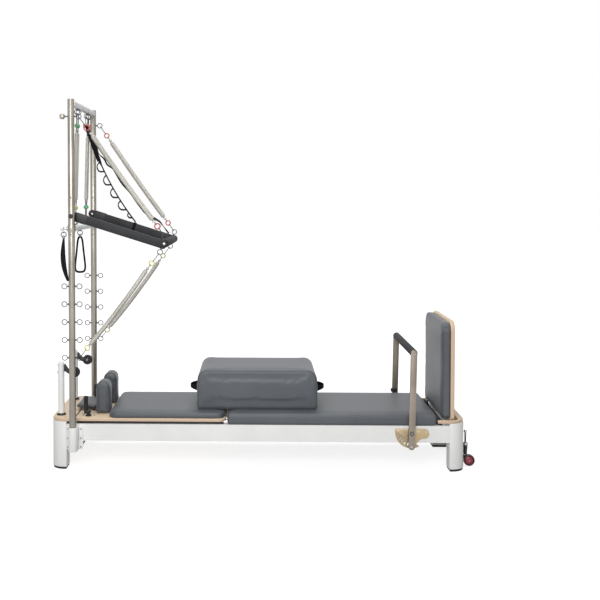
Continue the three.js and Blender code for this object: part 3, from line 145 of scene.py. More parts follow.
# %% Floor, world and lamps
bpy.ops.object.select_all(action="DESELECT")
bpy.ops.mesh.primitive_plane_add(size=60, location=(0, 0, 0))
floor = bpy.context.object
floor.name = "studio_floor"
floor_paint = bpy.data.materials.new("floor paint")
floor_paint.use_nodes = True
floor_tree = floor_paint.node_tree
floor_shader = floor_tree.nodes["Principled BSDF"]
floor_shader.inputs["Base Color"].default_value = (0.5, 0.5, 0.5, 1)
floor_shader.inputs["Roughness"].default_value = 0.9
floor_shader.inputs["Specular IOR Level"].default_value = 0.1
floor_shader.inputs["Emission Color"].default_value = (1, 1, 1, 1)
floor_place = add_node(floor_tree, "TexCoord")
distance = add_node(floor_tree, "VectorMath", [floor_place.outputs["Object"]], operation="LENGTH")
fade = add_node(floor_tree, "MapRange", [distance.outputs["Value"]],
                From_Min=1.2, From_Max=4.5, To_Min=0.8, To_Max=0.98)
glow = add_node(floor_tree, "Math", [seen_by(floor_tree, "Camera", "Glossy"), fade.outputs["Result"]],
                operation="MULTIPLY")
floor_tree.links.new(glow.outputs[0], floor_shader.inputs["Emission Strength"])
floor.data.materials.append(floor_paint)

world = bpy.data.worlds.new("studio")
bpy.context.scene.world = world
world.use_nodes = True
sky = world.node_tree.nodes["Background"]
sky.inputs["Color"].default_value = (1, 1, 1, 1)
white_to = seen_by(world.node_tree, "Camera", "Glossy", "Transmission")
level = add_node(world.node_tree, "MapRange", [white_to], To_Min=0.17, To_Max=1.0)
world.node_tree.links.new(level.outputs["Result"], sky.inputs["Strength"])


def lamp(name, place, aim, size, power):
    """A square softbox at one place, turned towards another."""
    data = bpy.data.lights.new(name, "AREA")
    data.size = size
    data.energy = power
    softbox = bpy.data.objects.new(name, data)
    bpy.context.scene.collection.objects.link(softbox)
    softbox.location = place
    softbox.rotation_euler = (Vector(aim) - Vector(place)).to_track_quat("-Z", "Y").to_euler()
    return softbox


lamp("lamp_front_left", (-1.3, -6.4, 3.2), (-0.2, 0, 0.6), 3.2, 245)
lamp("lamp_front_right", (0.8, -6.4, 2.6), (0.2, 0, 0.5), 3.0, 75)
lamp("lamp_above", (-0.3, 0.4, 4.8), (0, 0, 0), 3.6, 145)
bpy.context.scene.view_settings.view_transform = "Standard"

# %% [markdown]
# Operators act on whatever is selected, and loading leaves all the measured parts selected. So
# every step starts by clearing the selection. These helpers do what a hand does again and
# again: clear, pick one object, name it, fix its place into its mesh, and choose faces or edges
# by where they are.

# %% Selecting and finishing
def clear():
    """Leaves edit mode and deselects everything."""
    if bpy.context.object and bpy.context.object.mode != "OBJECT":
        bpy.ops.object.mode_set(mode="OBJECT")
    bpy.ops.object.select_all(action="DESELECT")


def pick(obj):
    """Makes obj the only one that operators act on."""
    clear()
    obj.select_set(True)
    bpy.context.view_layer.objects.active = obj
    return obj


def settled(name):
    """Names the object just added and fixes its place, turn and size into its mesh."""
    obj = bpy.context.object
    obj.name = name
    obj.data.name = name
    pick(obj)
    bpy.ops.object.transform_apply(location=True, rotation=True, scale=True)
    return obj


def choose(obj, kind, test):
    """Enters edit mode with the faces, edges or vertices selected that pass the test."""
    pick(obj)
    bpy.ops.object.mode_set(mode="EDIT")
    bpy.ops.mesh.select_mode(type=kind)
    bpy.ops.mesh.select_all(action="DESELECT")
    mesh = bmesh.from_edit_mesh(obj.data)
    parts = {"FACE": mesh.faces, "EDGE": mesh.edges, "VERT": mesh.verts}[kind]
    for part in parts:
        if test(part):
            part.select_set(True)
    mesh.select_flush_mode()
    bmesh.update_edit_mesh(obj.data)
    return obj


def done(obj):
    """Leaves edit mode."""
    bpy.ops.object.mode_set(mode="OBJECT")
    return obj


def apply_last(obj, kind, **values):
    """Adds a modifier, sets it and applies it."""
    pick(obj)
    bpy.ops.object.modifier_add(type=kind)
    modifier = obj.modifiers[-1]
    for key, value in values.items():
        setattr(modifier, key, value)
    bpy.ops.object.modifier_apply(modifier=modifier.name)
    return obj


def soften(obj, width, steps=2, angle=40):
    """Rounds every edge that is sharper than the angle, and shades the rest smooth."""
    apply_last(obj, "BEVEL", width=width / 1000, segments=steps, limit_method="ANGLE",
               angle_limit=math.radians(angle))
    pick(obj)
    bpy.ops.object.shade_smooth_by_angle(angle=math.radians(38))
    return obj


def together(name, pieces):
    """Joins pieces into one object that keeps each piece's finish."""
    clear()
    for piece in pieces:
        piece.select_set(True)
    bpy.context.view_layer.objects.active = pieces[0]
    if len(pieces) > 1:
        bpy.ops.object.join()
    whole = bpy.context.view_layer.objects.active
    whole.name = name
    whole.data.name = name
    return whole


def mirrored(obj, name):
    """The same piece for the far side of the frame, with its faces turned out again."""
    pick(obj)
    bpy.ops.object.duplicate(linked=False)
    twin = bpy.context.object
    twin.scale = (1, -1, 1)
    settled(name)
    choose(twin, "FACE", lambda face: True)
    bpy.ops.mesh.normals_make_consistent(inside=False)
    return done(twin)


print("helpers for selecting and finishing are ready")

# %% [markdown]
# Most hard parts are blocks, round bars, rings and long links. Each starts as a primitive at
# its own size and place and never stays one: a block gets rounded edges, a bar gets a chamfer
# at its rims, and a link is a ring whose one half is drawn out.

# %% Blocks, bars, rings and links
def slab(name, x, y, z, soft=2.0, steps=2):
    """A block between two X, two Y and two Z values in millimetres, with rounded edges."""
    clear()
    centre = spot((x[0] + x[1]) / 2, (y[0] + y[1]) / 2, (z[0] + z[1]) / 2)
    bpy.ops.mesh.primitive_cube_add(size=1, location=centre)
    bpy.context.object.scale = [abs(b - a) / 1000 for a, b in (x, y, z)]
    block = settled(name)
    return soften(block, soft, steps) if soft else block


def bar(name, start, end, radius, sides=32, soft=0.8, end_radius=None):
    """A round bar between two points in millimetres, with chamfered rims."""
    clear()
    a, b = spot(*start), spot(*end)
    turn = (b - a).to_track_quat("Z", "Y").to_euler()
    bpy.ops.mesh.primitive_cone_add(vertices=sides, radius1=radius / 1000,
                                    radius2=(radius if end_radius is None else end_radius) / 1000,
                                    depth=(b - a).length, location=(a + b) / 2, rotation=turn)
    rod = settled(name)
    if soft:
        return soften(rod, soft, 2)
    bpy.ops.object.shade_smooth_by_angle(angle=math.radians(38))
    return rod


def pipe(name, start, end, radius, wall, sides=40):
    """An open tube between two points in millimetres."""
    clear()
    a, b = spot(*start), spot(*end)
    turn = (b - a).to_track_quat("Z", "Y").to_euler()
    bpy.ops.mesh.primitive_cylinder_add(vertices=sides, radius=radius / 1000, depth=(b - a).length,
                                        end_fill_type="NOTHING", location=(a + b) / 2, rotation=turn)
    tube = settled(name)
    apply_last(tube, "SOLIDIFY", thickness=wall / 1000, offset=-1)
    return soften(tube, 0.5, 2, 60)


def ring(name, centre, normal, radius, wire, steps=28, round_steps=10):
    """A ring of round wire about a centre in millimetres."""
    clear()
    turn = Vector(normal).to_track_quat("Z", "Y").to_euler()
    bpy.ops.mesh.primitive_torus_add(major_segments=steps, minor_segments=round_steps,
                                     major_radius=radius / 1000, minor_radius=wire / 1000,
                                     location=spot(*centre), rotation=turn)
    hoop = settled(name)
    bpy.ops.object.shade_smooth()
    return hoop


def link(name, start, end, half, wire, side):
    """A long ring of wire from start to end, half a width to each side."""
    a, b = spot(*start), spot(*end)
    way = (b - a).normalized()
    normal = way.cross(Vector(side)).normalized()
    clear()
    bpy.ops.mesh.primitive_torus_add(major_segments=20, minor_segments=8, major_radius=half / 1000,
                                     minor_radius=wire / 1000, location=a + way * half / 1000,
                                     rotation=normal.to_track_quat("Z", "Y").to_euler())
    hoop = settled(name)
    begin = a + way * half / 1000
    choose(hoop, "VERT", lambda v: (v.co - begin).dot(way) > 0.0001)
    stretch = way * ((b - a).length - 2 * half / 1000)
    bpy.ops.transform.translate(value=stretch)
    done(hoop)
    bpy.ops.object.shade_smooth()
    return hoop


print("helpers for blocks, bars, rings and links are ready")

# %% [markdown]
# Every finish is a small recipe of nodes that reads the piece's own coordinates in metres: noise
# for uneven colour, a bump for grain, and a spread of roughness. The same steps serve paint,
# steel, wood, vinyl and foam; only the numbers and the pattern differ.

# %% Steps of every finish
def recipe(name, colour, rough, metal=0.0):
    """A new finish, its tree of nodes and its shader."""
    finish = bpy.data.materials.new(name)
    finish.use_nodes = True
    shader = finish.node_tree.nodes["Principled BSDF"]
    shader.inputs["Base Color"].default_value = (*colour, 1)
    shader.inputs["Roughness"].default_value = rough
    shader.inputs["Metallic"].default_value = metal
    return finish, finish.node_tree, shader


def pattern(tree, kind, scale, stretch=(1, 1, 1), **values):
    """A texture on the piece's own coordinates, stretched along its axes."""
    place = add_node(tree, "TexCoord")
    mapping = add_node(tree, "Mapping", [place.outputs["Object"]], Scale=stretch)
    return add_node(tree, "Tex" + kind, [mapping.outputs["Vector"]], Scale=scale, **values)


def noise(tree, scale, detail, stretch=(1, 1, 1), **values):
    """A soft uneven grey."""
    return pattern(tree, "Noise", scale, stretch, Detail=detail, **values).outputs["Fac"]


def shades(tree, factor, dark, light, low=0.35, high=0.65):
    """A ramp between two colours."""
    ramp = add_node(tree, "ValToRGB", [factor])
    for stop, place, colour in zip(ramp.color_ramp.elements, (low, high), (dark, light)):
        stop.position = place
        stop.color = (*colour, 1)
    return ramp.outputs["Color"]


def tint(tree, factor, shader, dark, light, low=0.35, high=0.65):
    """Colour that varies from dark to light."""
    tree.links.new(shades(tree, factor, dark, light, low, high), shader.inputs["Base Color"])


def spread(tree, factor, shader, low, high):
    """Roughness that varies from low to high."""
    span = add_node(tree, "MapRange", [factor], To_Min=low, To_Max=high)
    tree.links.new(span.outputs["Result"], shader.inputs["Roughness"])


def relief(tree, height, shader, depth, strength=0.5, before=None):
    """A bump of so many millimetres, laid over an earlier one where there is one."""
    bump = add_node(tree, "Bump", Strength=strength, Distance=depth / 1000)
    tree.links.new(height, bump.inputs["Height"])
    if before:
        tree.links.new(before.outputs["Normal"], bump.inputs["Normal"])
    tree.links.new(bump.outputs["Normal"], shader.inputs["Normal"])
    return bump


print("steps for finishes are ready")

# %% [markdown]
# The frame is aluminium with white powder paint. Powder melts into a skin with a very fine
# orange peel, so a small noise bump is enough, with hardly any change of colour.

# %% White powder paint
white_paint, tree, shader = recipe("white powder paint", (0.80, 0.80, 0.79), 0.42)
cloud = noise(tree, 6, 3)
tint(tree, cloud, shader, (0.775, 0.775, 0.765), (0.82, 0.82, 0.81))
spread(tree, cloud, shader, 0.36, 0.5)
relief(tree, noise(tree, 420, 2), shader, 0.12, 0.25)
print("made", white_paint.name)

# %% [markdown]
# The upholstery is grey vinyl. Vinyl has a pebbled grain of about a millimetre, which a Voronoi
# pattern gives, a soft sheen on top of it, and slow changes of tone where it is stretched.

# %% Grey vinyl
vinyl, tree, shader = recipe("grey vinyl", (0.066, 0.073, 0.084), 0.46)
cloud = noise(tree, 4, 4)
tint(tree, cloud, shader, (0.058, 0.065, 0.075), (0.075, 0.083, 0.095))
spread(tree, cloud, shader, 0.42, 0.54)
pebbles = pattern(tree, "Voronoi", 760, Randomness=1.0)
fine = relief(tree, noise(tree, 1500, 2), shader, 0.08, 0.2)
relief(tree, pebbles.outputs["Distance"], shader, 0.22, 0.35, fine)
shader.inputs["Sheen Weight"].default_value = 0.08
shader.inputs["Sheen Roughness"].default_value = 0.5
print("made", vinyl.name)

# %% [markdown]
# The decks, the carriage board and the back of the jump board are birch plywood. Their faces show
# a pale grain that runs along the board, and their edges show the plies as thin stripes. A mask
# from the surface's own normal tells a face from an edge, so one finish serves every board.

# %% Birch plywood
def plywood_of(name, along, through):
    """Plywood whose grain runs along one axis and whose plies lie across another."""
    finish, tree, shader = recipe(name, (0.74, 0.57, 0.39), 0.45)
    stretch = [46.0, 46.0, 46.0]
    stretch["XYZ".index(along)] = 2.2
    figure = noise(tree, 1, 6, stretch, Distortion=0.6)
    face = shades(tree, figure, (0.66, 0.49, 0.32), (0.83, 0.68, 0.50), 0.3, 0.7)
    plies = pattern(tree, "Wave", 52, bands_direction=through, Distortion=0.4, Detail=1)
    edge = shades(tree, plies.outputs["Fac"], (0.47, 0.30, 0.19), (0.74, 0.57, 0.42), 0.25, 0.6)
    surface = add_node(tree, "TexCoord")
    parts = add_node(tree, "SeparateXYZ", [surface.outputs["Normal"]])
    facing = add_node(tree, "Math", [parts.outputs[through]], operation="ABSOLUTE")
    mask = add_node(tree, "MapRange", [facing.outputs[0]], From_Min=0.45, From_Max=0.75)
    mix = add_node(tree, "Mix", data_type="RGBA")
    for entry, feed in (("Factor", mask.outputs["Result"]), ("A", edge), ("B", face)):
        tree.links.new(feed, mix.inputs[entry])
    tree.links.new(mix.outputs["Result"], shader.inputs["Base Color"])
    spread(tree, figure, shader, 0.38, 0.55)
    relief(tree, noise(tree, 9, 3, stretch), shader, 0.15, 0.2)
    shader.inputs["Coat Weight"].default_value = 0.15
    shader.inputs["Coat Roughness"].default_value = 0.3
    return finish


plywood_flat = plywood_of("birch plywood, lying", "X", "Z")
plywood_upright = plywood_of("birch plywood, upright", "Z", "X")
print("made", plywood_flat.name, "and", plywood_upright.name)

# %% [markdown]
# Steel parts are bare and brushed. Brushing leaves long fine scratches, so a noise stretched along
# the piece drives the roughness and a faint bump, and a wide noise the tone. The posts and the
# footbar are a warm stainless steel, the springs a lighter one, and the plates are brassy.

# %% Brushed metals
def brushed(name, dark, light, along, low, high, metal=0.8, rim=0.25):
    """A metal brushed along one axis, with painted shade towards its rim for dark surroundings reflected
    there.
    """
    finish, tree, shader = recipe(name, light, low, metal)
    stretch = [900.0, 900.0, 900.0]
    stretch["XYZ".index(along)] = 6.0
    scratches = noise(tree, 1, 3, stretch)
    tint(tree, noise(tree, 5, 3), shader, dark, light)
    spread(tree, scratches, shader, low, high)
    relief(tree, scratches, shader, 0.01, 0.1)
    # The rim tint is painted shade: it dims the reflection towards the rim, where dark surroundings would
    # show.
    shader.inputs["Specular Tint"].default_value = (rim, rim, rim, 1)
    return finish


post_steel = brushed("stainless steel, upright", (0.25, 0.235, 0.205), (0.34, 0.32, 0.28),
                     "Z", 0.22, 0.4)
arm_steel = brushed("stainless steel, warm", (0.20, 0.17, 0.14), (0.28, 0.24, 0.20),
                    "Z", 0.28, 0.45)
cross_steel = brushed("silver steel, crosswise", (0.58, 0.59, 0.58), (0.68, 0.69, 0.68),
                      "Y", 0.25, 0.42, 0.6, 0.6)
spring_steel = brushed("spring steel", (0.46, 0.445, 0.40), (0.54, 0.525, 0.48),
                       "Z", 0.35, 0.5, 0.5, 0.4)
bright_steel = brushed("bright steel", (0.36, 0.36, 0.36), (0.50, 0.50, 0.50),
                       "Z", 0.18, 0.3, 0.85, 0.1)
wire_steel = brushed("bent wire", (0.07, 0.07, 0.075), (0.13, 0.13, 0.135),
                     "Z", 0.3, 0.45, 0.6, 0.3)
dark_steel = brushed("dark steel", (0.08, 0.08, 0.08), (0.14, 0.14, 0.14), "Z", 0.3, 0.45)
plate_metal = brushed("brassy plate", (0.25, 0.20, 0.135), (0.45, 0.34, 0.20),
                      "X", 0.28, 0.45, 0.7, 0.4)
print("made eight brushed metals")

# %% [markdown]
# Dark parts differ by touch: the push-through arms are satin charcoal paint, the brackets black
# paint, the grips closed-cell foam with visible pores, the feet and pegs rubber, and the knobs
# smooth moulded plastic.

# %% Dark finishes
def dark_finish(name, dark, light, low, high, grain_size, depth, strength, shine=0.3):
    """A dark finish with a fine grain and its own shine."""
    finish, tree, shader = recipe(name, light, low)
    shader.inputs["Specular IOR Level"].default_value = shine
    cloud = noise(tree, 14, 3)
    tint(tree, cloud, shader, dark, light)
    spread(tree, cloud, shader, low, high)
    relief(tree, noise(tree, grain_size, 2), shader, depth, strength)
    return finish


charcoal = dark_finish("charcoal paint", (0.02, 0.0205, 0.022), (0.03, 0.031, 0.034),
                       0.4, 0.5, 600, 0.1, 0.25, 0.15)
black_paint = dark_finish("black paint", (0.012, 0.012, 0.013), (0.02, 0.02, 0.022),
                          0.35, 0.5, 500, 0.1, 0.25)
foam = dark_finish("closed-cell foam", (0.03, 0.03, 0.033), (0.05, 0.051, 0.055),
                   0.75, 0.92, 900, 0.5, 0.6, 0.2)
rubber = dark_finish("tyre rubber", (0.016, 0.016, 0.017), (0.028, 0.028, 0.03),
                     0.6, 0.8, 300, 0.2, 0.4)
black_plastic = dark_finish("black plastic", (0.01, 0.01, 0.011), (0.018, 0.018, 0.02),
                            0.35, 0.5, 700, 0.06, 0.2)
print("made five dark finishes")

# %% [markdown]
# The springs carry coloured rings that tell their strength: red on the upper ones, yellow on the
# lower ones, yellow and green on the hanging ones. They are glossy plastic, and so are the crimson
# hubs and the dark red tyres of the transport wheels.

# %% Coloured plastic
def dipped(name, dark, light):
    """A glossy coloured plastic with slight unevenness."""
    finish, tree, shader = recipe(name, light, 0.3)
    cloud = noise(tree, 60, 2)
    tint(tree, cloud, shader, dark, light)
    spread(tree, cloud, shader, 0.26, 0.4)
    relief(tree, cloud, shader, 0.2, 0.2)
    return finish


red = dipped("red plastic", (0.50, 0.035, 0.04), (0.66, 0.06, 0.065))
dark_red = dipped("dark red rubber", (0.045, 0.01, 0.012), (0.075, 0.016, 0.02))
crimson = dipped("crimson plastic", (0.16, 0.014, 0.03), (0.27, 0.025, 0.05))
yellow = dipped("yellow plastic", (0.62, 0.60, 0.16), (0.78, 0.76, 0.24))
green = dipped("green plastic", (0.03, 0.27, 0.07), (0.06, 0.40, 0.12))
print("made five coloured plastics")

# %% [markdown]
# Webbing is woven tape. Its weave follows the strap, so this finish reads the strap's own UV map:
# V runs along the tape in metres and U across it. Two wave patterns, one leaning each way, give
# the herringbone of the yarns.

# %% Black webbing
webbing, tree, shader = recipe("black webbing", (0.012, 0.012, 0.014), 0.8)
shader.inputs["Specular IOR Level"].default_value = 0.12
tape_map = add_node(tree, "UVMap", uv_map="tape")
yarns = []
for lean in (0.6, -0.6):
    turn = add_node(tree, "Mapping", [tape_map.outputs["UV"]], Rotation=(0, 0, lean))
    wave = add_node(tree, "TexWave", [turn.outputs["Vector"]], Scale=130)
    yarns.append(wave.outputs["Fac"])
weave = add_node(tree, "Math", yarns, operation="MULTIPLY").outputs[0]
tint(tree, weave, shader, (0.005, 0.005, 0.006), (0.018, 0.018, 0.02), 0.2, 0.7)
relief(tree, weave, shader, 0.5, 0.6)
print("made", webbing.name)

# %% [markdown]
# A finished piece gets a finish, is tied to the body it moves with, and hides the measured parts
# it stands for. Two helpers do that for every piece.

# %% Giving a finish and a place among the bodies
def paint(obj, finish):
    """Covers a piece with one finish."""
    obj.data.materials.clear()
    obj.data.materials.append(finish)
    return obj


def dress(obj, body, slot, *parts):
    """Ties a finished piece to the body it moves with and hides the parts it stands for; its slot is not
    used.
    """
    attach(obj, body)
    if parts:
        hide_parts(*parts)
    return obj


sides = {"near": -1, "far": 1}
print("pieces can be painted and dressed")

# %% [markdown]
# Many parts share a place: the posts and all that sits on them, the two crossbars, the pins of
# the push-through bar. These places have names, in millimetres from the middle of the rails.

# %% Shared places
post_x, post_y = -1074, -373
top_bar_z, low_bar_z = 2143, 1420
pivot_z, knob_z = 1492, 2066
hang_top_z, hang_low_z = 2108, 1455
print("posts at x =", post_x, "and y =", post_y, "and", -post_y)

# %% [markdown]
# A maker rounds some edges more than others: the upright corners of a pad, or the long top edges
# of the box. Here an edge is chosen by the way it runs and by where it lies.

# %% Rounding chosen edges
def runs_along(edge, axis):
    """True for an edge that runs along X, Y or Z (0, 1 or 2)."""
    way = (edge.verts[1].co - edge.verts[0].co).normalized()
    return abs(way[axis]) > 0.999


def round_edges(obj, test, radius, steps=8):
    """Rounds the edges that pass the test to a radius in millimetres."""
    choose(obj, "EDGE", test)
    bpy.ops.mesh.bevel(offset=radius / 1000, segments=steps, affect="EDGES")
    return done(obj)


def edge_at(axis, **where):
    """A test for edges along an axis whose middle lies on the given sides in millimetres."""
    def test(edge):
        centre = (edge.verts[0].co + edge.verts[1].co) / 2
        goal = spot(where.get("x", 0), where.get("y", 0), where.get("z", 0))
        near = all(abs(centre["xyz".index(key)] - goal["xyz".index(key)]) < 0.0015 for key in where)
        return runs_along(edge, axis) and near
    return test


def round_level(obj, axis, level, radius, steps):
    """Rounds the edges that run along an axis at one height in millimetres."""
    height = spot(0, 0, level).z
    round_edges(obj, lambda edge: runs_along(edge, axis) and abs(edge.verts[0].co.z - height) < 1e-4,
                radius, steps)


print("edge helpers are ready")

# %% [markdown]
# Upholstery is board and foam under stretched vinyl. It is made as a sewer would: a block with
# rounded corners and rolled edges, slightly too small, then blown up like a cushion by a cloth
# simulation, so that its faces crown and its sides pull in between the corners. How far a point
# may move is capped, and the underside stays flat where it rests on its board.

# %% Pads
def cushion(name, x, y, z, corner, roll, inset=0.6, under=6.0):
    """A block with rounded corners and rolled edges, a little smaller than the pad."""
    low, high = z[0], z[1] - inset
    block = slab(name, (x[0] + inset, x[1] - inset), (y[0] + inset, y[1] - inset), (low, high), 0)
    round_edges(block, lambda edge: runs_along(edge, 2), corner, 6)
    top, bottom = spot(0, 0, high).z, spot(0, 0, low).z
    choose(block, "EDGE", lambda edge: all(abs(v.co.z - top) < 1e-5 for v in edge.verts))
    bpy.ops.mesh.bevel(offset=roll / 1000, segments=4, affect="EDGES")
    done(block)
    choose(block, "EDGE", lambda edge: all(abs(v.co.z - bottom) < 1e-5 for v in edge.verts))
    bpy.ops.mesh.bevel(offset=under / 1000, segments=3, affect="EDGES")
    return done(block)


def stuffed(pad, voxel, swell, resting=2):
    """Blows a pad up under its cover and keeps it flat where it rests, at one end of an axis."""
    apply_last(pad, "REMESH", mode="VOXEL", voxel_size=voxel / 1000, use_smooth_shade=True)
    before = [vertex.co.copy() for vertex in pad.data.vertices]
    pick(pad)
    bpy.ops.object.modifier_add(type="CLOTH")
    cloth = pad.modifiers[-1]
    cloth.settings.use_pressure = True
    cloth.settings.uniform_pressure_force = 4
    cloth.settings.effector_weights.gravity = 0
    for step in range(1, 21):
        bpy.context.scene.frame_set(step)
    bpy.ops.object.modifier_apply(modifier=cloth.name)
    bpy.context.scene.frame_set(1)
    axis = abs(resting) % 3
    side = -1 if resting < 0 else 1
    floor_level = min(side * point[axis] for point in before)
    for vertex, start in zip(pad.data.vertices, before):
        move = vertex.co - start
        if move.length > swell / 1000:
            move = move.normalized() * swell / 1000
        place = start + move
        if side * place[axis] < floor_level + 0.0004:
            place[axis] = side * floor_level
        vertex.co = place
    apply_last(pad, "SUBSURF", levels=1, render_levels=1)
    bpy.ops.object.shade_smooth()
    return pad


def crowned(pad, drop, reach):
    """Lets the top of a lying pad fall towards its edges, as foam under a tight cover does."""
    corners = [Vector(corner) for corner in pad.bound_box]
    low = Vector([min(c[i] for c in corners) for i in range(3)])
    high = Vector([max(c[i] for c in corners) for i in range(3)])
    for vertex in pad.data.vertices:
        place = vertex.co
        edge_gap = min(place.x - low.x, high.x - place.x, place.y - low.y, high.y - place.y)
        share = max(0.0, 1 - edge_gap * 1000 / reach)
        place.z -= drop / 1000 * share ** 2 * (place.z - low.z) / (high.z - low.z)
    return pad


print("pads can be stuffed")

# %% [markdown]
# The covers are sewn from panels, and each seam stands up as a thin ridge along an edge. The
# seam starts as a loop around the pad, is laid on the finished surface by a shrinkwrap, and is
# then given the thickness of two folded edges of vinyl.

# %% Seams
def outline(low, high, corner, steps=6):
    """The points of a rectangle with round corners, in two dimensions, in millimetres."""
    points = []
    corners = [(high[0] - corner, high[1] - corner, 0), (low[0] + corner, high[1] - corner, 90),
               (low[0] + corner, low[1] + corner, 180), (high[0] - corner, low[1] + corner, 270)]
    for cx, cy, begin in corners:
        for step in range(steps + 1):
            angle = math.radians(begin + 90 * step / steps)
            points.append((cx + corner * math.cos(angle), cy + corner * math.sin(angle)))
    return points


def seam(name, pad, points, radius=1.1, closed=True):
    """A sewn ridge along points in millimetres, laid on a pad and covered with its vinyl."""
    clear()
    mesh = bpy.data.meshes.new(name)
    count = len(points)
    edges = [(i, (i + 1) % count) for i in range(count if closed else count - 1)]
    mesh.from_pydata([spot(*point) for point in points], edges, [])
    line = bpy.data.objects.new(name, mesh)
    bpy.context.scene.collection.objects.link(line)
    choose(line, "EDGE", lambda edge: edge.calc_length() > 0.03)
    bpy.ops.mesh.subdivide(number_cuts=24)
    done(line)
    apply_last(line, "SHRINKWRAP", target=pad, wrap_method="NEAREST_SURFACEPOINT",
               wrap_mode="ABOVE_SURFACE", offset=radius / 3000)
    pick(line)
    bpy.ops.object.convert(target="CURVE")
    line = bpy.context.object
    line.data.bevel_depth = radius / 1000
    line.data.bevel_resolution = 2
    line.data.use_fill_caps = True
    bpy.ops.object.convert(target="MESH")
    ridge = bpy.context.object
    ridge.name = name
    pick(ridge)
    bpy.ops.object.shade_smooth()
    return paint(ridge, vinyl)


def flat_seam(name, pad, x, y, z, corner, body, radius=1.1):
    """A seam round a lying pad, at one height."""
    loop = [(px, py, z) for px, py in outline((x[0], y[0]), (x[1], y[1]), corner)]
    return dress(seam(name, pad, loop, radius), body, "upholstery")


print("seams can be sewn")

# %% [markdown]
# The mat extension fills the frame from the carriage to the jump board. It is a long board with
# firm foam: its faces hardly crown, its corners are small, and a seam runs round its top edge. A
# latch with a red button sits at its foot end.

# %% Mat extension
mat = cushion("mat_pad", (-179, 1050), (-320, 320), (269.6, 338.3), 18, 18)
stuffed(mat, 9, 3)
crowned(mat, 5, 90)
dress(paint(mat, vinyl), "mat", "upholstery", "mat_extension")
flat_seam("mat_seam", mat, (-179, 1050), (-320, 320), 322, 18, "mat")
latch = slab("mat_latch", (1049, 1068), (70, 124), (296, 334), 4, 3)
dress(paint(latch, black_plastic), "mat", "black_plastic")
button = bar("mat_button", (1064, 97, 322), (1068, 97, 322), 6, 24, 1)
dress(paint(button, red), "mat", "black_plastic")
tab = slab("mat_tab", (1056, 1063), (86, 98), (333, 335), 0.8, 2)
dress(paint(tab, white_paint), "mat", "black_plastic")
print("mat with", len(mat.data.polygons), "faces")

# %% [markdown]
# The carriage pad is thinner than the mat and lies on a plywood board. Its corners are rounder,
# and its seam runs just below the top as well.

# %% Carriage pad
carriage_pad = cushion("carriage_pad", (-880, -189), (-310, 310), (301.5, 337.3), 50, 10, 0.6, 4)
stuffed(carriage_pad, 8, 3)
crowned(carriage_pad, 4, 90)
dress(paint(carriage_pad, vinyl), "carriage", "upholstery", "carriage_cushion")
flat_seam("carriage_pad_seam", carriage_pad, (-880, -189), (-310, 310), 325, 50, "carriage")
print("carriage pad with", len(carriage_pad.data.polygons), "faces")

# %% [markdown]
# Two shoulder rests stand on pegs at the head end of the carriage pad. They are tall pads with
# arched tops, and a seam runs round each of their two arched faces.

# %% Shoulder rests
def shoulder_rest(side):
    """An arched pad on the carriage, its two faces joined by a band."""
    y = sorted((sides[side] * 90, sides[side] * 190))
    rest = slab(f"shoulder_pad_{side}", (-967.4, -886.6), (y[0] + 0.6, y[1] - 0.6), (301.5, 496.7), 0)
    round_level(rest, 1, 496.7, 38, 10)
    soften(rest, 9, 3)
    stuffed(rest, 4.5, 3)
    paint(rest, vinyl)
    dress(rest, f"shoulder_rest_{side}", "upholstery", f"shoulder_rest_{side}")
    arch = [(px, pz) for px, pz in outline((-968, 303), (-886, 497.3), 38) if pz > 345]
    path = [(-886, 305)] + arch + [(-968, 305)]
    for at in (y[0] + 6, y[1] - 6):
        line = seam(f"shoulder_seam_{side}_{round(abs(at))}", rest, [(px, at, pz) for px, pz in path],
                    1.0, False)
        dress(line, f"shoulder_rest_{side}", "upholstery")


for side in sides:
    shoulder_rest(side)
print("two shoulder rests")

# %% [markdown]
# A small flat headrest lies behind the shoulder rests, on a black hinge block. Pad and block
# turn together.

# %% Headrest
headrest = cushion("headrest_pad", (-1102, -976), (-120, 120), (318.3, 338.2), 20, 6, 0.6, 4)
stuffed(headrest, 5, 3)
dress(paint(headrest, vinyl), "headrest", "upholstery")
flat_seam("headrest_seam", headrest, (-1102, -976), (-120, 120), 332, 20, "headrest", 1.0)
hinge_block = slab("headrest_block", (-1002, -976), (-118, 118), (301.3, 320), 2.5, 3)
dress(paint(hinge_block, black_plastic), "headrest", "black_plastic", "headrest")
print("headrest with its block")

# %% [markdown]
# The sitting box is a wooden box with foam on top and vinyl all over. Its long top edges are
# round, its sides are flat, and seams run round both long faces.

# %% Sitting box
box_pad = slab("box_pad", (-359.4, 358.4), (-237.4, 237.4), (338.9, 575), 0)
round_level(box_pad, 1, 575, 58, 10)
soften(box_pad, 11, 3)
stuffed(box_pad, 8, 3.4)
dress(paint(box_pad, vinyl), "box", "upholstery", "sitting_box")
box_arch = [(px, pz) for px, pz in outline((-359, 339), (359, 575), 60, 10) if pz > 480]
box_below = [(px, pz) for px, pz in outline((-359, 339), (359, 575), 14) if pz < 400]
for label, at in (("front", -231), ("back", 231)):
    loop = [(px, at, pz) for px, pz in box_arch + box_below]
    dress(seam(f"box_seam_{label}", box_pad, loop, 1.2), "box", "upholstery")
print("sitting box with", len(box_pad.data.polygons), "faces")

# %% [markdown]
# The jump board is a plywood panel with two tongues that drop into the foot beam, and a firm pad
# on the side that faces the carriage. Its corners are well rounded at the top.

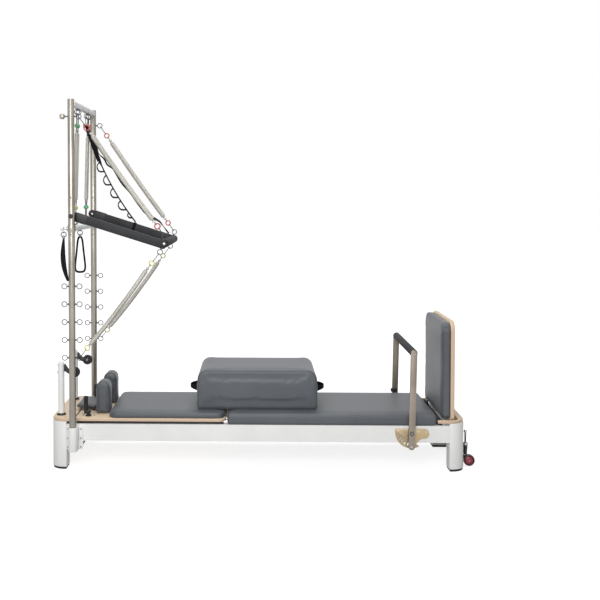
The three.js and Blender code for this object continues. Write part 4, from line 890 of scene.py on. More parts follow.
# %% Jump board pad
jump_pad = slab("jump_pad", (1085, 1130.6), (-295, 295), (293.4, 872.6), 0)
round_level(jump_pad, 0, 872.6, 56, 8)
round_level(jump_pad, 0, 293.4, 28, 6)
soften(jump_pad, 9, 3)
stuffed(jump_pad, 7, 8, resting=-3)
dress(paint(jump_pad, vinyl), "jump_board", "upholstery", "jump_board_cushion")
jump_loop = [(1092, py, pz) for py, pz in outline((-295, 293), (295, 873), 57, 8) if pz > 400]
jump_foot = [(1092, py, pz) for py, pz in outline((-295, 293), (295, 873), 28, 6) if pz < 400]
dress(seam("jump_pad_seam", jump_pad, jump_loop + jump_foot, 1.1), "jump_board", "upholstery")
print("jump board pad with", len(jump_pad.data.polygons), "faces")

# %% [markdown]
# The side rails and end beams are extruded aluminium, and the measured shapes already have their
# profile. They stay, and get the white paint. So do a few small parts that are seen only from
# below or from behind.

# %% Parts that stay as measured
def finish_of(finish, *names):
    """Gives measured parts a finish without touching their shape."""
    for name in names:
        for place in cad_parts[name].material_slots:
            place.material = finish


finish_of(white_paint, "side_rail_near", "side_rail_far", "head_beam", "foot_beam")
finish_of(rubber, "carriage_wheels_head", "carriage_wheels_foot")
finish_of(cross_steel, "spring_bar")
print("measured parts with a finish of their own")

# %% [markdown]
# Four cast legs stand under the corners. Each is a block whose outer corner is one large round,
# with a rubber pad under it. A leg is made once and mirrored to the far side.

# %% Legs
def leg(name, x, outer):
    """A leg between two X values, round at its outer near corner, on a rubber pad."""
    body = slab(name, x, (-320, -224), (13, 282), 0)
    round_edges(body, edge_at(2, x=outer, y=-320), 78, 14)
    soften(body, 3, 3)
    paint(body, white_paint)
    inner = 3 if outer == x[0] else -3
    base = slab(name + "_pad", (x[0] + 3, x[1] - 3), (-317, -227), (0, 13), 0)
    round_edges(base, edge_at(2, x=outer + inner, y=-317), 75, 14)
    soften(base, 2, 2)
    paint(base, rubber)
    return body, base


def both_sides(piece, body, slot, node=""):
    """Dresses a near piece and its mirror image for the far side."""
    name = piece.name
    piece.name = piece.data.name = name + "_near"
    dress(piece, body.format("near"), slot, *([node.format("near")] if node else []))
    twin = mirrored(piece, name + "_far")
    dress(twin, body.format("far"), slot, *([node.format("far")] if node else []))
    return piece, twin


head_leg, head_pad = leg("leg_head", (-1215, -1121.3), -1215)
foot_leg, foot_pad = leg("leg_foot", (1121.3, 1215), 1215)
both_sides(head_leg, "frame", "white_paint", "leg_head_{}")
both_sides(head_pad, "frame", "tyre")
both_sides(foot_leg, "frame", "white_paint", "leg_foot_{}")
both_sides(foot_pad, "frame", "tyre")
print("four legs on rubber pads")

# %% [markdown]
# A deck board lies on the legs at each end. The one at the head has two round corners; the one at
# the foot has a deep cut-out in which the jump board and the footbar stand. The cut-out is a
# second block, taken away with a boolean, as a router would. A black rubber strip fills the gap
# between the mat and the jump board: painted shade for the dark inside of the frame there.

# %% Decks
plywood_deck = plywood_of("birch plywood, decks", "Y", "Z")
head_deck = slab("deck_board_head", (-1218, -1084), (-320, 320), (282.3, 300), 0)
round_edges(head_deck, edge_at(2, x=-1218), 98, 16)
soften(head_deck, 3.5, 3)
paint(head_deck, plywood_deck)
dress(head_deck, "frame", "plywood", "head_deck")
foot_deck = slab("deck_board_foot", (1053, 1215), (-320, 320), (282.3, 300), 0)
round_edges(foot_deck, edge_at(2, x=1215), 98, 16)
cut_out = slab("cut_out", (1000, 1179), (-302, 302), (250, 350), 0)
round_edges(cut_out, edge_at(2, x=1179), 42, 10)
apply_last(foot_deck, "BOOLEAN", operation="DIFFERENCE", object=cut_out, solver="EXACT")
bpy.data.objects.remove(cut_out)
soften(foot_deck, 3.5, 3)
paint(foot_deck, plywood_deck)
dress(foot_deck, "frame", "plywood", "foot_deck")
# A black strip in the gap: painted shade for the dark inside of the frame.
gap_shade_strip = slab("foot_buffer", (1052, 1083), (-296, 296), (262, 297), 5, 3)
dress(paint(gap_shade_strip, rubber), "frame", "black_plastic")
print("two deck boards and the rubber strip")

# %% [markdown]
# The posts of the tower stand in white sockets screwed to the outside of the rails. A socket is
# a thick plate with a bored sleeve in front of it. Three cap screws of dark steel hold it on each
# side of the post, their darkness painted shade for the screw holes, and a small round black disc
# sits above it, in the gap between the rail and the deck.

# %% Post sockets
def screw(name, start, end, radius, finish):
    """A cap screw seen from its head, with a hole for its key."""
    head = bar(name, start, end, radius, 28, 0)
    out = (spot(*end) - spot(*start)).normalized()
    tip = spot(*end)
    choose(head, "FACE", lambda face: (face.calc_center_median() - tip).length < 1e-4)
    bpy.ops.mesh.inset(thickness=radius * 0.42 / 1000)
    bpy.ops.mesh.extrude_region_move(TRANSFORM_OT_translate={"value": -out * radius * 0.6 / 1000})
    done(head)
    soften(head, 0.5, 2)
    return paint(head, finish)


def socket():
    """A near post socket: plate, block, bored sleeve with its rim, and two ears for the screws."""
    plate = slab("socket_plate", (-1120, -1023), (-328.3, -320.3), (120, 261), 0)
    round_edges(plate, lambda edge: runs_along(edge, 1), 9, 6)
    soften(plate, 1.5, 2)
    block = slab("socket_block", (-1100, -1048), (-374, -326), (120, 261), 0)
    soften(block, 2, 2)
    sleeve = pipe("socket_sleeve", (post_x, post_y, 120), (post_x, post_y, 261), 26, 6.6, 48)
    rim = ring("socket_rim", (post_x, post_y, 259.5), (0, 0, 1), 23, 2.4, 48)
    ears = []
    for x in ((-1119, -1102), (-1046, -1025)):
        ear = slab("socket_ear", x, (-331.5, -327), (176, 254), 0)
        round_edges(ear, lambda edge: runs_along(edge, 1), 6, 5)
        ears.append(soften(ear, 1.2, 2))
    pieces = [plate, block, sleeve, rim] + ears
    for piece in pieces:
        paint(piece, white_paint)
    return together("post_socket", pieces)


both_sides(socket(), "frame", "white_paint", "post_socket_{}")
# The screws' dark steel is painted shade for the dark screw holes.
screw_places = [(x, z, -331 if z > 170 else -328) for x in (-1111, -1035) for z in (242, 187, 134)]
socket_screws = [screw(f"socket_screw_{i}", (x, y + 2, z), (x, y - 2, z), 5, dark_steel)
                 for i, (x, z, y) in enumerate(screw_places)]
both_sides(together("socket_screws", socket_screws), "frame", "bracket_steel")
# A small round black disc in the gap between the rail and the deck.
deck_cap = bar("deck_cap", (-1113, -318, 277), (-1113, -326, 277), 7, 24, 1.2)
both_sides(paint(deck_cap, black_plastic), "frame", "black_plastic")
print("two post sockets")

# %% [markdown]
# The posts are steel tube with a wall of two millimetres, open at the top. Welded through them, at
# five levels, sit pairs of eyes for the springs. An eye is a ring of wire on a round shank with
# a small nut against the post.

# %% Eyes
def eye(name, centre, out, across, reach):
    """A spring eye: its centre, the way it points and the normal of its ring, shank back to reach."""
    centre, out = Vector(centre), Vector(out).normalized()
    hoop = ring(name, centre, across, 15, 2.5, 26, 8)
    shank = bar(name + "_shank", tuple(centre - out * 15), tuple(centre - out * reach), 3, 14, 0)
    nut = bar(name + "_nut", tuple(centre - out * (reach - 8)), tuple(centre - out * (reach - 3)),
              5.5, 6, 0.6)
    for piece in (hoop, shank, nut):
        paint(piece, wire_steel)
    return [hoop, shank, nut]


eye_levels = [669 + 104 * n for n in range(5)]
post_top = 2166
eye_out = 44


def post_eyes():
    """All eyes of a near post: two at each level and one near the top."""
    pieces = []
    for level in eye_levels:
        for way in (-1, 1):
            pieces += eye(f"eye_{level}_{way}", (post_x + way * eye_out, post_y, level), (way, 0, 0),
                          (0, 1, 0), 27)
    pieces += eye("eye_top", (post_x + eye_out, post_y, knob_z), (1, 0, 0), (0, 1, 0), 27)
    return together("post_eyes", pieces)


post = pipe("post", (post_x, post_y, 126), (post_x, post_y, post_top), 19, 2, 48)
both_sides(paint(post, post_steel), "frame", "stainless", "tower_post_{}")
both_sides(post_eyes(), "frame", "stainless")
print("two posts with", len(eye_levels) * 4 + 2, "eyes")

# %% [markdown]
# A round knob near the top of each post clamps the top crossbar. It has a waist and a flat face.
# Dark threaded holes show on the front of the posts at two more heights, where the lower crossbar
# and the push-through bar can be moved to.

# %% Post details
def turned_part(name, start, profile, normal, finish, steps=36):
    """A turned part: radius and distance pairs in millimetres, spun about a line."""
    clear()
    mesh = bpy.data.meshes.new(name)
    points = [(radius / 1000, 0, along / 1000) for radius, along in profile]
    mesh.from_pydata(points, [(i, i + 1) for i in range(len(points) - 1)], [])
    part = bpy.data.objects.new(name, mesh)
    bpy.context.scene.collection.objects.link(part)
    choose(part, "VERT", lambda v: True)
    bpy.ops.mesh.spin(steps=steps, angle=math.tau, center=(0, 0, 0), axis=(0, 0, 1))
    bpy.ops.mesh.select_all(action="SELECT")
    bpy.ops.mesh.remove_doubles(threshold=0.00002)
    bpy.ops.mesh.normals_make_consistent(inside=False)
    done(part)
    part.rotation_euler = Vector(normal).to_track_quat("Z", "Y").to_euler()
    part.location = spot(*start)
    settled_part = settled(name)
    bpy.ops.object.shade_smooth_by_angle(angle=math.radians(40))
    return paint(settled_part, finish)


knob_profile = [(0, 0), (8, 0), (9, 3), (15, 7), (16, 10), (16, 22), (14.5, 27), (10, 30), (0, 31)]
# Each hole is a black disc: painted shade for the dark inside of a threaded hole.
for side, face, inside, levels in (("near", -393.2, -384, (1598, 1385)), ("far", 352.8, 362, (1596, 1354))):
    holes = [bar(f"post_hole_{level}", (post_x, face, level), (post_x, inside, level), 3.6, 20, 0.4)
             for level in levels]
    holes = together(f"post_holes_{side}", [paint(hole, black_plastic) for hole in holes])
    dress(holes, "frame", "black_plastic")
top_knob = turned_part("top_knob", (-1108, post_y, knob_z), knob_profile, (-1, 0, 0), post_steel)
top_shank = paint(bar("top_shank", (-1092, post_y, knob_z), (-1110, post_y, knob_z), 4, 20, 0), wire_steel)
both_sides(together("top_knob", [top_knob, top_shank]), "frame", "stainless")
print("knobs and holes of the posts")

# %% [markdown]
# Two crossbars join the posts. The upper one is silver and hangs between them, with hexagon nuts
# along it. Eyes under it hold the four hanging springs and the far safety strap.

# %% Top crossbar
top_bar = bar("top_bar", (post_x, -353.7, top_bar_z), (post_x, 353.7, top_bar_z), 19, 48, 1.5)
paint(top_bar, cross_steel)
nuts = [bar(f"top_nut_{y}", (post_x, y - half, top_bar_z), (post_x, y + half, top_bar_z), 23, 6, 1.5)
        for y, half in ((-346.7, 7), (-99, 7), (99, 7), (346.7, 7))]
top_bar = together("top_bar", [top_bar] + [paint(nut, bright_steel) for nut in nuts])
dress(top_bar, "frame", "bar_aluminium", "top_crossbar")
hanging = [(-185, -295), (-138, -248), (180, 70), (215, 105)]
strap_eye_y = 130
top_eyes = []
for y in [top for top, low in hanging] + [strap_eye_y]:
    top_eyes += eye(f"top_eye_{y}", (post_x, y, hang_top_z), (0, 0, -1), (0, 1, 0), 18)
dress(together("top_bar_eyes", top_eyes), "frame", "bar_aluminium")
print("top crossbar with", len(top_eyes) // 3, "eyes")

# %% [markdown]
# The lower crossbar is white. At each end a steel clamp holds it on its post, with a short shank
# and a white knob. Eyes above it hold the low ends of the hanging springs, and two eyes under it
# and beside it the foot loops.

# %% Lower crossbar
low_bar = paint(bar("low_bar", (post_x, -350, low_bar_z), (post_x, 350, low_bar_z), 19, 48, 1), white_paint)
dress(low_bar, "frame", "white_paint", "lower_crossbar")
collar = pipe("low_clamp", (post_x, post_y, 1398), (post_x, post_y, 1442), 22, 2.8, 48)
boss = bar("low_boss", (-1090, post_y, low_bar_z), (-1102, post_y, low_bar_z), 11, 28, 1.5)
clamp = together("low_clamp", [paint(collar, post_steel), paint(boss, post_steel)])
both_sides(clamp, "frame", "bracket_steel")
low_shank = bar("low_shank", (-1098, post_y, low_bar_z), (-1122, post_y, low_bar_z), 6, 20, 0.5)
paint(low_shank, bright_steel)
both_sides(low_shank, "frame", "bracket_steel")
grip_profile = [(0, 0), (8, 0), (12.5, 3), (13, 6), (13, 13), (11, 17), (0, 18)]
low_knob = turned_part("low_knob", (-1120, post_y, low_bar_z), grip_profile, (-1, 0, 0), white_paint)
both_sides(low_knob, "frame", "black_plastic")
low_eyes = []
for top, y in hanging:
    low_eyes += eye(f"low_eye_{y}", (post_x, y, hang_low_z), (0, 0, 1), (0, 1, 0), 18)
inner_loop_eye, outer_loop_eye = (post_x, -108, 1385), (-1120, post_y, 1385)
low_eyes += eye("loop_eye_inner", inner_loop_eye, (0, 0, -1), (0, 1, 0), 18)
low_eyes += eye("loop_eye_outer", outer_loop_eye, (0, 0, -1), (0, 1, 0), 18)
dress(together("low_bar_eyes", low_eyes), "frame", "stainless")
print("lower crossbar with", len(low_eyes) // 3, "eyes")

# %% [markdown]
# The push-through bar is a pair of flat charcoal arms on pivot pins, joined by a round tube with
# a thick foam sleeve. An arm is drawn lying level and then swung down about its pin, which keeps
# its rounding simple. Its eyes stand above and below the tube.

# %% Push-through bar
pivot = (post_x, 0, pivot_z)
drop = 17.5
arm_y = 333.5


def swung(obj):
    """Swings a piece that was drawn level down about the pivot pin."""
    pin = spot(*pivot)
    turn = Matrix.Rotation(math.radians(drop), 4, "Y")
    obj.data.transform(Matrix.Translation(pin) @ turn @ Matrix.Translation(-pin))
    return obj


def on_bar(y, along, up=0.0):
    """A place on the swung bar: so far along an arm and so far above its middle."""
    return turned((pivot[0] + along, y, pivot[2] + up), drop, (pivot[0], y, pivot[2]))


def on_tube(y):
    """A place on the middle line of the tube between the arms."""
    return on_bar(y, 557.5, 6)


arm = slab("push_arm", (-1099, -504), (-346, -321), (1467, 1517), 0)
round_edges(arm, edge_at(1, x=-1099), 24.8, 12)
round_edges(arm, edge_at(1, x=-504), 12.5, 8)
soften(arm, 3, 3)
both_sides(paint(swung(arm), charcoal), "push_bar", "charcoal_aluminium")
sleeve = slab("arm_sleeve", (-1060, -985), (-348, -319), (1464.5, 1519.5), 3.5, 3)
both_sides(paint(swung(sleeve), black_plastic), "push_bar", "charcoal_aluminium")
tube_end = bar("push_tube_end", on_tube(-350.5), on_tube(-320), 14, 36, 1.2)
both_sides(paint(tube_end, charcoal), "push_bar", "charcoal_aluminium")
bolt_profile = [(0, 0), (9, 0), (9, 2), (7, 4.5), (0, 5)]
end_cap = turned_part("push_tube_bolt", on_tube(-350), bolt_profile, (0, -1, 0), bright_steel, 28)
both_sides(end_cap, "push_bar", "stainless")
tube = bar("push_tube", on_tube(-322), on_tube(322), 14, 36, 0)
dress(paint(tube, charcoal), "push_bar", "charcoal_aluminium", "push_bar_frame")
grip = bar("push_grip", on_tube(-320.5), on_tube(320.5), 24, 48, 4)
dress(paint(grip, foam), "push_bar", "foam", "push_bar_grip")
up_way = Vector(on_bar(0, 0, 1)) - Vector(on_bar(0, 0, 0))
bar_top, bar_low = on_bar(-arm_y, 546, 48), on_bar(-arm_y, 548, -48)
bar_eyes = eye("bar_eye_top", bar_top, tuple(up_way), (0, 1, 0), 25)
bar_eyes += eye("bar_eye_low", bar_low, tuple(-up_way), (0, 1, 0), 25)
both_sides(together("bar_eyes", bar_eyes), "push_bar", "stainless")
print("push-through bar with its grip and eyes")

# %% [markdown]
# The bar turns on a steel pin through each post. The pin has a black ribbed knob outside and a
# small steel cap inside.

# %% Pivot pins
pin_profile = [(0, 0), (10, 0), (13, 2), (13, 4), (12, 5), (12, 8), (13, 9), (13, 15), (11, 18), (0, 18)]
pin = turned_part("pivot_knob", (post_x, -392.3, pivot_z), pin_profile, (0, -1, 0), black_plastic)
core = paint(bar("pivot_core", (post_x, -393, pivot_z), (post_x, -319, pivot_z), 6, 24, 0), bright_steel)
cap = turned_part("pivot_cap", (post_x, -320.8, pivot_z), [(0, 0), (6.5, 0), (6.5, 2), (5, 4), (0, 4)],
                  (0, 1, 0), bright_steel)
both_sides(together("pivot_pin", [pin, core, cap]), "frame", "black_plastic", "push_bar_pivot_{}")
print("two pivot pins")

# %% [markdown]
# The springs are close-wound from thin wire. One turn of wire is a small circle carried round by
# a screw modifier, a fresh turn right beside the last. Towards both ends the coil narrows, and a
# cone and two long links of bent wire lead from it to its eye.

# %% Springs
hook_seat = 7.5
turn_gap = 0.86


def coil(name, start, end, radius, wire, sag=0.0, steps=12, wire_sides=6):
    """A close coil between two points in millimetres, narrowed at its ends, sagging in the middle."""
    a, b = spot(*start), spot(*end)
    length = (b - a).length
    pitch = 2 * wire * turn_gap / 1000
    turns = max(2, round(length / pitch))
    pitch = length / turns
    clear()
    bpy.ops.mesh.primitive_circle_add(vertices=wire_sides, radius=wire / 1000,
                                      location=((radius - wire) / 1000, 0, 0), rotation=(math.pi / 2, 0, 0))
    winding = settled(name)
    apply_last(winding, "SCREW", axis="Z", angle=math.tau, screw_offset=pitch, iterations=turns,
               steps=steps, render_steps=steps)
    choose(winding, "EDGE", lambda edge: True)
    bpy.ops.mesh.fill_holes(sides=wire_sides)
    bpy.ops.mesh.select_all(action="SELECT")
    bpy.ops.mesh.normals_make_consistent(inside=False)
    done(winding)
    taper = 4.5 * pitch
    for vertex in winding.data.vertices:
        end_gap = min(vertex.co.z, length - vertex.co.z)
        if end_gap < taper:
            share = 0.32 + 0.68 * math.sin(max(0.0, end_gap / taper) * math.pi / 2)
            vertex.co.x *= share
            vertex.co.y *= share
    turn = (b - a).to_track_quat("Z", "Y").to_matrix().to_4x4()
    winding.data.transform(Matrix.Translation(a) @ turn)
    if sag:
        for vertex in winding.data.vertices:
            share = min(1.0, max(0.0, (vertex.co - a).dot(b - a) / length ** 2))
            vertex.co.z -= sag / 1000 * 4 * share * (1 - share)
    pick(winding)
    bpy.ops.object.shade_smooth()
    return winding


def between(start, end, distance):
    """The point so many millimetres from start towards end, or back from the end if negative."""
    a, b = Vector(start), Vector(end)
    way = (b - a).normalized()
    return tuple(a + way * distance) if distance >= 0 else tuple(b + way * distance)


def spring(name, start, end, radius, wire, head, tail, rings, sag=0.0):
    """A spring from eye to eye: coil, a cone at each end, and two links with room for a ring."""
    first, last = between(start, end, head), between(start, end, -tail)
    pieces = [paint(coil(name, first, last, radius, wire, sag=sag), spring_steel)]
    for label, seat, ring_at, coil_at in (("head", hook_seat, rings[0], head + 4),
                                          ("tail", -hook_seat, -rings[1], -tail - 4)):
        way = 1 if seat > 0 else -1
        stops = [seat, ring_at - way * 11, ring_at + way * 11, coil_at]
        for index in (0, 2):
            hook = link(f"{name}_{label}_{index}", between(start, end, stops[index]),
                        between(start, end, stops[index + 1]), 6, 2, (0, 1, 0))
            pieces.append(paint(hook, wire_steel))
    for label, at, back in (("a", head, head - 14), ("b", -tail, 14 - tail)):
        cone = bar(f"{name}_cone_{label}", between(start, end, at), between(start, end, back),
                   radius * 0.45, 20, 0.5, end_radius=radius * 0.72)
        pieces.append(paint(cone, spring_steel))
    return together(name, pieces)


def marks(name, start, end, distances, finish, radius=14.5, wire=3.6):
    """Coloured snap rings between the links at both ends of a spring."""
    pieces = []
    way = (Vector(end) - Vector(start)).normalized()
    flat = Vector((0, 1, 0)) - way * way.y
    for i, distance in enumerate(distances):
        place = between(start, end, distance)
        pieces.append(paint(ring(f"{name}_{i}", place, tuple(flat), radius, wire, 32, 12), finish))
    return together(name, pieces)


print("springs can be wound")

# %% [markdown]
# Four long springs hold the push-through bar: two from high on the posts to the eyes above its
# tube, two from low on the posts to the eyes below it.

# %% Upper and lower springs
top_eye = (post_x + eye_out, post_y, knob_z)
low_eye = (post_x + eye_out, post_y, eye_levels[0])


def stretched(piece, node=None):
    """Hides the measured part a piece stands for, if one is given, and fixes the piece's place into its
    mesh.
    """
    if node:
        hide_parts(node)
    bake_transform(piece)


def far_of(point):
    """The same place on the far side."""
    return (point[0], -point[1], point[2])


for side, place in (("near", tuple), ("far", far_of)):
    eye_up, eye_down = place(top_eye), place(low_eye)
    hook_up, hook_down = place(bar_top), place(bar_low)
    upper = spring(f"upper_coil_{side}", eye_up, hook_up, 15, 1.6, 130, 116, (80, 72), 8)
    upper_marks = marks(f"upper_marks_{side}", eye_up, hook_up, [80, -72], red,
                        16 if side == "near" else 14.5)
    stretched(upper, f"upper_spring_{side}")
    stretched(upper_marks)
    lower = spring(f"lower_coil_{side}", eye_down, hook_down, 13.5, 1.5, 98, 128, (72, 80), 13)
    lower_marks = marks(f"lower_marks_{side}", eye_down, hook_down, [72, -80], yellow)
    stretched(lower, f"lower_spring_{side}")
    stretched(lower_marks)
print("four springs on the push-through bar")

# %% [markdown]
# Four lighter springs hang between the crossbars, slanted in pairs. A green ring marks one end of
# each and a yellow ring the other.

# %% Hanging springs
end_colours = [(green, yellow), (green, yellow), (yellow, green), (yellow, green)]
for index, (y_top, y_low) in enumerate(hanging):
    start, end = (post_x, y_top, hang_top_z), (post_x, y_low, hang_low_z)
    hung = spring(f"hung_coil_{index + 1}", start, end, 9.5, 1.2, 125, 129, (84, 84))
    dress(hung, "frame", "spring_steel", f"hanging_spring_{index + 1}")
    for label, distance, finish in zip(("top", "low"), (84, -84), end_colours[index]):
        tip = marks(f"hung_mark_{index + 1}_{label}", start, end, [distance], finish, 9, 3.8)
        dress(tip, "frame", "spring_steel")
print("four hanging springs")

# %% [markdown]
# Straps are flat webbing, so they are built as tape: a short edge pulled along the route, given
# its thickness, with a map that tells the weave which way the tape runs.

# %% Tape
def tape(name, route, across, width, thickness=3.0, closed=False, twist=None):
    """Webbing along a route in millimetres, its width along one direction, then twisted."""
    clear()
    across = Vector(across).normalized() * width / 2
    points = [Vector(point) for point in route]
    bpy.ops.mesh.primitive_plane_add(size=1)
    strip = settled(name)
    corners = [points[0] - across, points[0] + across, points[1] - across, points[1] + across]
    for vertex, corner in zip(strip.data.vertices, corners):
        vertex.co = spot(*corner)
    last = (spot(*corners[2]) + spot(*corners[3])) / 2
    choose(strip, "EDGE", lambda e: ((e.verts[0].co + e.verts[1].co) / 2 - last).length < 1e-5)
    for begin, end in zip(points[1:], points[2:]):
        bpy.ops.mesh.extrude_region_move(TRANSFORM_OT_translate={"value": (end - begin) / 1000})
    done(strip)
    if closed:
        choose(strip, "VERT", lambda v: True)
        bpy.ops.mesh.remove_doubles(threshold=0.0002)
        done(strip)
    lengths = [0.0]
    for begin, end in zip(points, points[1:]):
        lengths.append(lengths[-1] + (end - begin).length / 1000)
    axis = across.normalized()
    rows = []
    for vertex in strip.data.vertices:
        row = min(range(len(points)),
                  key=lambda i: abs((vertex.co - spot(*points[i])).length - width / 2000))
        rows.append((row, (vertex.co - spot(*points[row])).dot(axis)))
    uv = strip.data.uv_layers.new(name="tape")
    for polygon in strip.data.polygons:
        for corner_index in polygon.loop_indices:
            row, out = rows[strip.data.loops[corner_index].vertex_index]
            uv.data[corner_index].uv = (out, lengths[row])
    if twist:
        for vertex, (row, out) in zip(strip.data.vertices, rows):
            share = lengths[row] / lengths[-1]
            ahead = (points[min(row + 1, len(points) - 1)] - points[max(row - 1, 0)]).normalized()
            turn = Matrix.Rotation(math.radians(twist(share)), 3, ahead)
            centre = spot(*points[row])
            vertex.co = centre + turn @ (vertex.co - centre)
    apply_last(strip, "SOLIDIFY", thickness=thickness / 1000, offset=0)
    apply_last(strip, "BEVEL", width=0.0006, segments=2, limit_method="ANGLE", angle_limit=math.radians(60))
    pick(strip)
    bpy.ops.object.shade_smooth_by_angle(angle=math.radians(50))
    return paint(strip, webbing)


def curve_through(points, steps=6):
    """A smooth line through points in millimetres."""
    line = []
    for i in range(len(points) - 1):
        p0, p1 = Vector(points[max(i - 1, 0)]), Vector(points[i])
        p2, p3 = Vector(points[i + 1]), Vector(points[min(i + 2, len(points) - 1)])
        for step in range(steps):
            t = step / steps
            line.append(0.5 * (2 * p1 + (p2 - p0) * t + (2 * p0 - 5 * p1 + 4 * p2 - p3) * t * t
                               + (3 * p1 - p0 - 3 * p2 + p3) * t ** 3))
    return line + [Vector(points[-1])]


def strap_axes(start, end):
    """The way from start to end, the direction across it and the one below it."""
    way = (Vector(end) - Vector(start)).normalized()
    across = (Vector((0, 1, 0)) - way * way.y).normalized()
    under = way.cross(across).normalized()
    return way, across, (-under if under.z > 0 else under)


print("tape can be cut and sewn")

# %% [markdown]
# The far safety strap hangs in a shallow arc from the top crossbar to the arm. Its first part is
# folded double and shows its face. Then come five small sewn loops, and a collar round the arm.

# %% Far safety strap
strap_top = Vector((-1070, strap_eye_y, 2052))
arm_along = 285
strap_foot = Vector(on_bar(arm_y, arm_along, 33))
strap_way, strap_across, strap_under = strap_axes(strap_top, strap_foot)
strap_length = (strap_foot - strap_top).length
strap_slack = 34


def on_strap(distance, below=0.0):
    """A place so far along the hanging strap and so far below it."""
    share = distance / strap_length
    low = below + 4 * strap_slack * share * (1 - share)
    return strap_top + strap_way * distance + strap_under * low


def strap_twist(share):
    """The first part shows its face, and turns edge-on before the loops."""
    return 84 * min(1.0, max(0.0, (0.39 - share) / 0.1))


main_route = [on_strap(strap_length * i / 60) for i in range(61)]
pieces = [tape("strap_far", main_route, strap_across, 20, 6, twist=strap_twist)]
first_loop, last_loop = strap_length * 0.35, strap_length * 0.895
for i in range(5):
    start = first_loop + (last_loop - first_loop) * i / 4
    size = 0.55 if i == 4 else 1
    shape = [(0, 0), (0.08, 0.5), (0.28, 0.93), (0.52, 1.06), (0.74, 1.0), (0.9, 0.6), (1.0, 0)]
    loop = [on_strap(start + ahead * 68 * size, away * 31 * size) for ahead, away in shape]
    pieces.append(tape(f"strap_loop_{i}", curve_through(loop, 5), strap_across, 20, 6))
fold = [on_strap(d, 4) for d in range(0, int(first_loop), 12)]
pieces.append(tape("strap_fold", fold, strap_across, 22, 4, twist=lambda share: 84))
half, thick = 25 + 2.2, 12.5 + 2.2
corners = [(half, thick), (-half, thick), (-half, -thick), (half, -thick), (half, thick)]
collar_route = [Vector(on_bar(arm_y + out, arm_along, up)) for up, out in corners]
arm_way = Vector(on_bar(0, 1)) - Vector(on_bar(0, 0))
pieces.append(tape("strap_collar", collar_route, arm_way, 20, closed=True))
strap_link = link("strap_link", (post_x, strap_eye_y, 2100), tuple(strap_top - strap_way * 3),
                  7, 2.2, (1, 0, 0))
pieces.append(paint(strap_link, wire_steel))
far_strap = together("strap_far", pieces)
stretched(far_strap, "safety_strap_far")
print("far strap,", round(strap_length), "mm long")

# %% [markdown]
# The near safety strap is plain tape. It runs in slack waves below the near upper spring, with
# two humps near its top, and comes up over the spring at its lower end.

# %% Near safety strap
near_across, near_under = strap_axes(top_eye, bar_top)[1:]
near_route = []
for step in range(61):
    share = 0.11 + 0.89 * step / 60
    point = Vector(top_eye).lerp(Vector(bar_top), share)
    wave = 2 * math.sin(share * 26) * math.sin(share * math.pi)
    over = 40 * min(1.0, max(0.0, (share - 0.78) / 0.12))
    hump = 13 * math.exp(-((share - 0.285) / 0.04) ** 2) + 11 * math.exp(-((share - 0.375) / 0.03) ** 2)
    near_route.append(point + near_under * (10 + 8 * 4 * share * (1 - share) + hump + wave - over))
near_strap = tape("strap_near", near_route, near_across, 20, 4,
                  twist=lambda share: 26 * math.sin(share * 17))
stretched(near_strap, "safety_strap_near")
print("near strap below its spring")

# %% [markdown]
# Two foot loops hang from eyes under the lower crossbar. Each is padded webbing on a snap hook.
# The outer one is seen edge-on, so it is bowed and drawn in at both ends.

# %% Foot loops
def foot_loop(name, eye_place, half, turn, low_end, band, bow=0.0, waist=1.0):
    """A snap hook on an eye and a loop of webbing below it, bowed and narrowed at its ends."""
    hook_end = Vector(eye_place) - Vector((0, 0, 24))
    hook = link(name + "_hook", tuple(Vector(eye_place) - Vector((0, 0, hook_seat))), tuple(hook_end),
                6.5, 2.2, (1, 0, 0))
    dress(paint(hook, wire_steel), name, "stainless")
    drop = hook_end.z - low_end

    def bowed(share):
        """How far the loop stands off its line at a share of its height."""
        return bow * (share ** 3 - 0.3 * math.sin(math.pi * share))

    half_shape = [(0, 0), (0.3, 0.03), (0.5, 0.15), (0.68, 0.4), (0.88, 0.65), (1, 0.84), (0.86, 0.96),
                  (0.42, 1)]
    out_way = Vector((math.cos(math.radians(turn)), math.sin(math.radians(turn)), 0))
    stops = []
    for way, shape in ((1, half_shape), (-1, half_shape[:0:-1])):
        for out, low in shape:
            stops.append(hook_end + out_way * way * out * half + Vector((bowed(low), 0, -low * drop)))
    route = curve_through(stops + [stops[0]], 5)
    piece = tape(name + "_band", route, (-out_way.y, out_way.x, 0), band, 11)
    for vertex in piece.data.vertices:
        share = min(1.0, max(0.0, (spot(0, 0, hook_end.z).z - vertex.co.z) * 1000 / drop))
        centre = spot(*(hook_end + Vector((bowed(share), 0, 0)))).x
        vertex.co.x = centre + (vertex.co.x - centre) * (waist + (1 - waist) * math.sin(math.pi * share))
    dress(piece, name, "webbing", name)


foot_loop("foot_loop_inner", inner_loop_eye, 30, 12, 1148, 25)
foot_loop("foot_loop_outer", outer_loop_eye, 16, -90, 1122, 23, 22, 0.35)
print("two foot loops")

# %% [markdown]
# Two pulleys stand at the head end. Each riser is a white tube with a flange and a domed cap, a
# slanted black bracket is bolted to it, and a grooved nylon wheel turns in that.

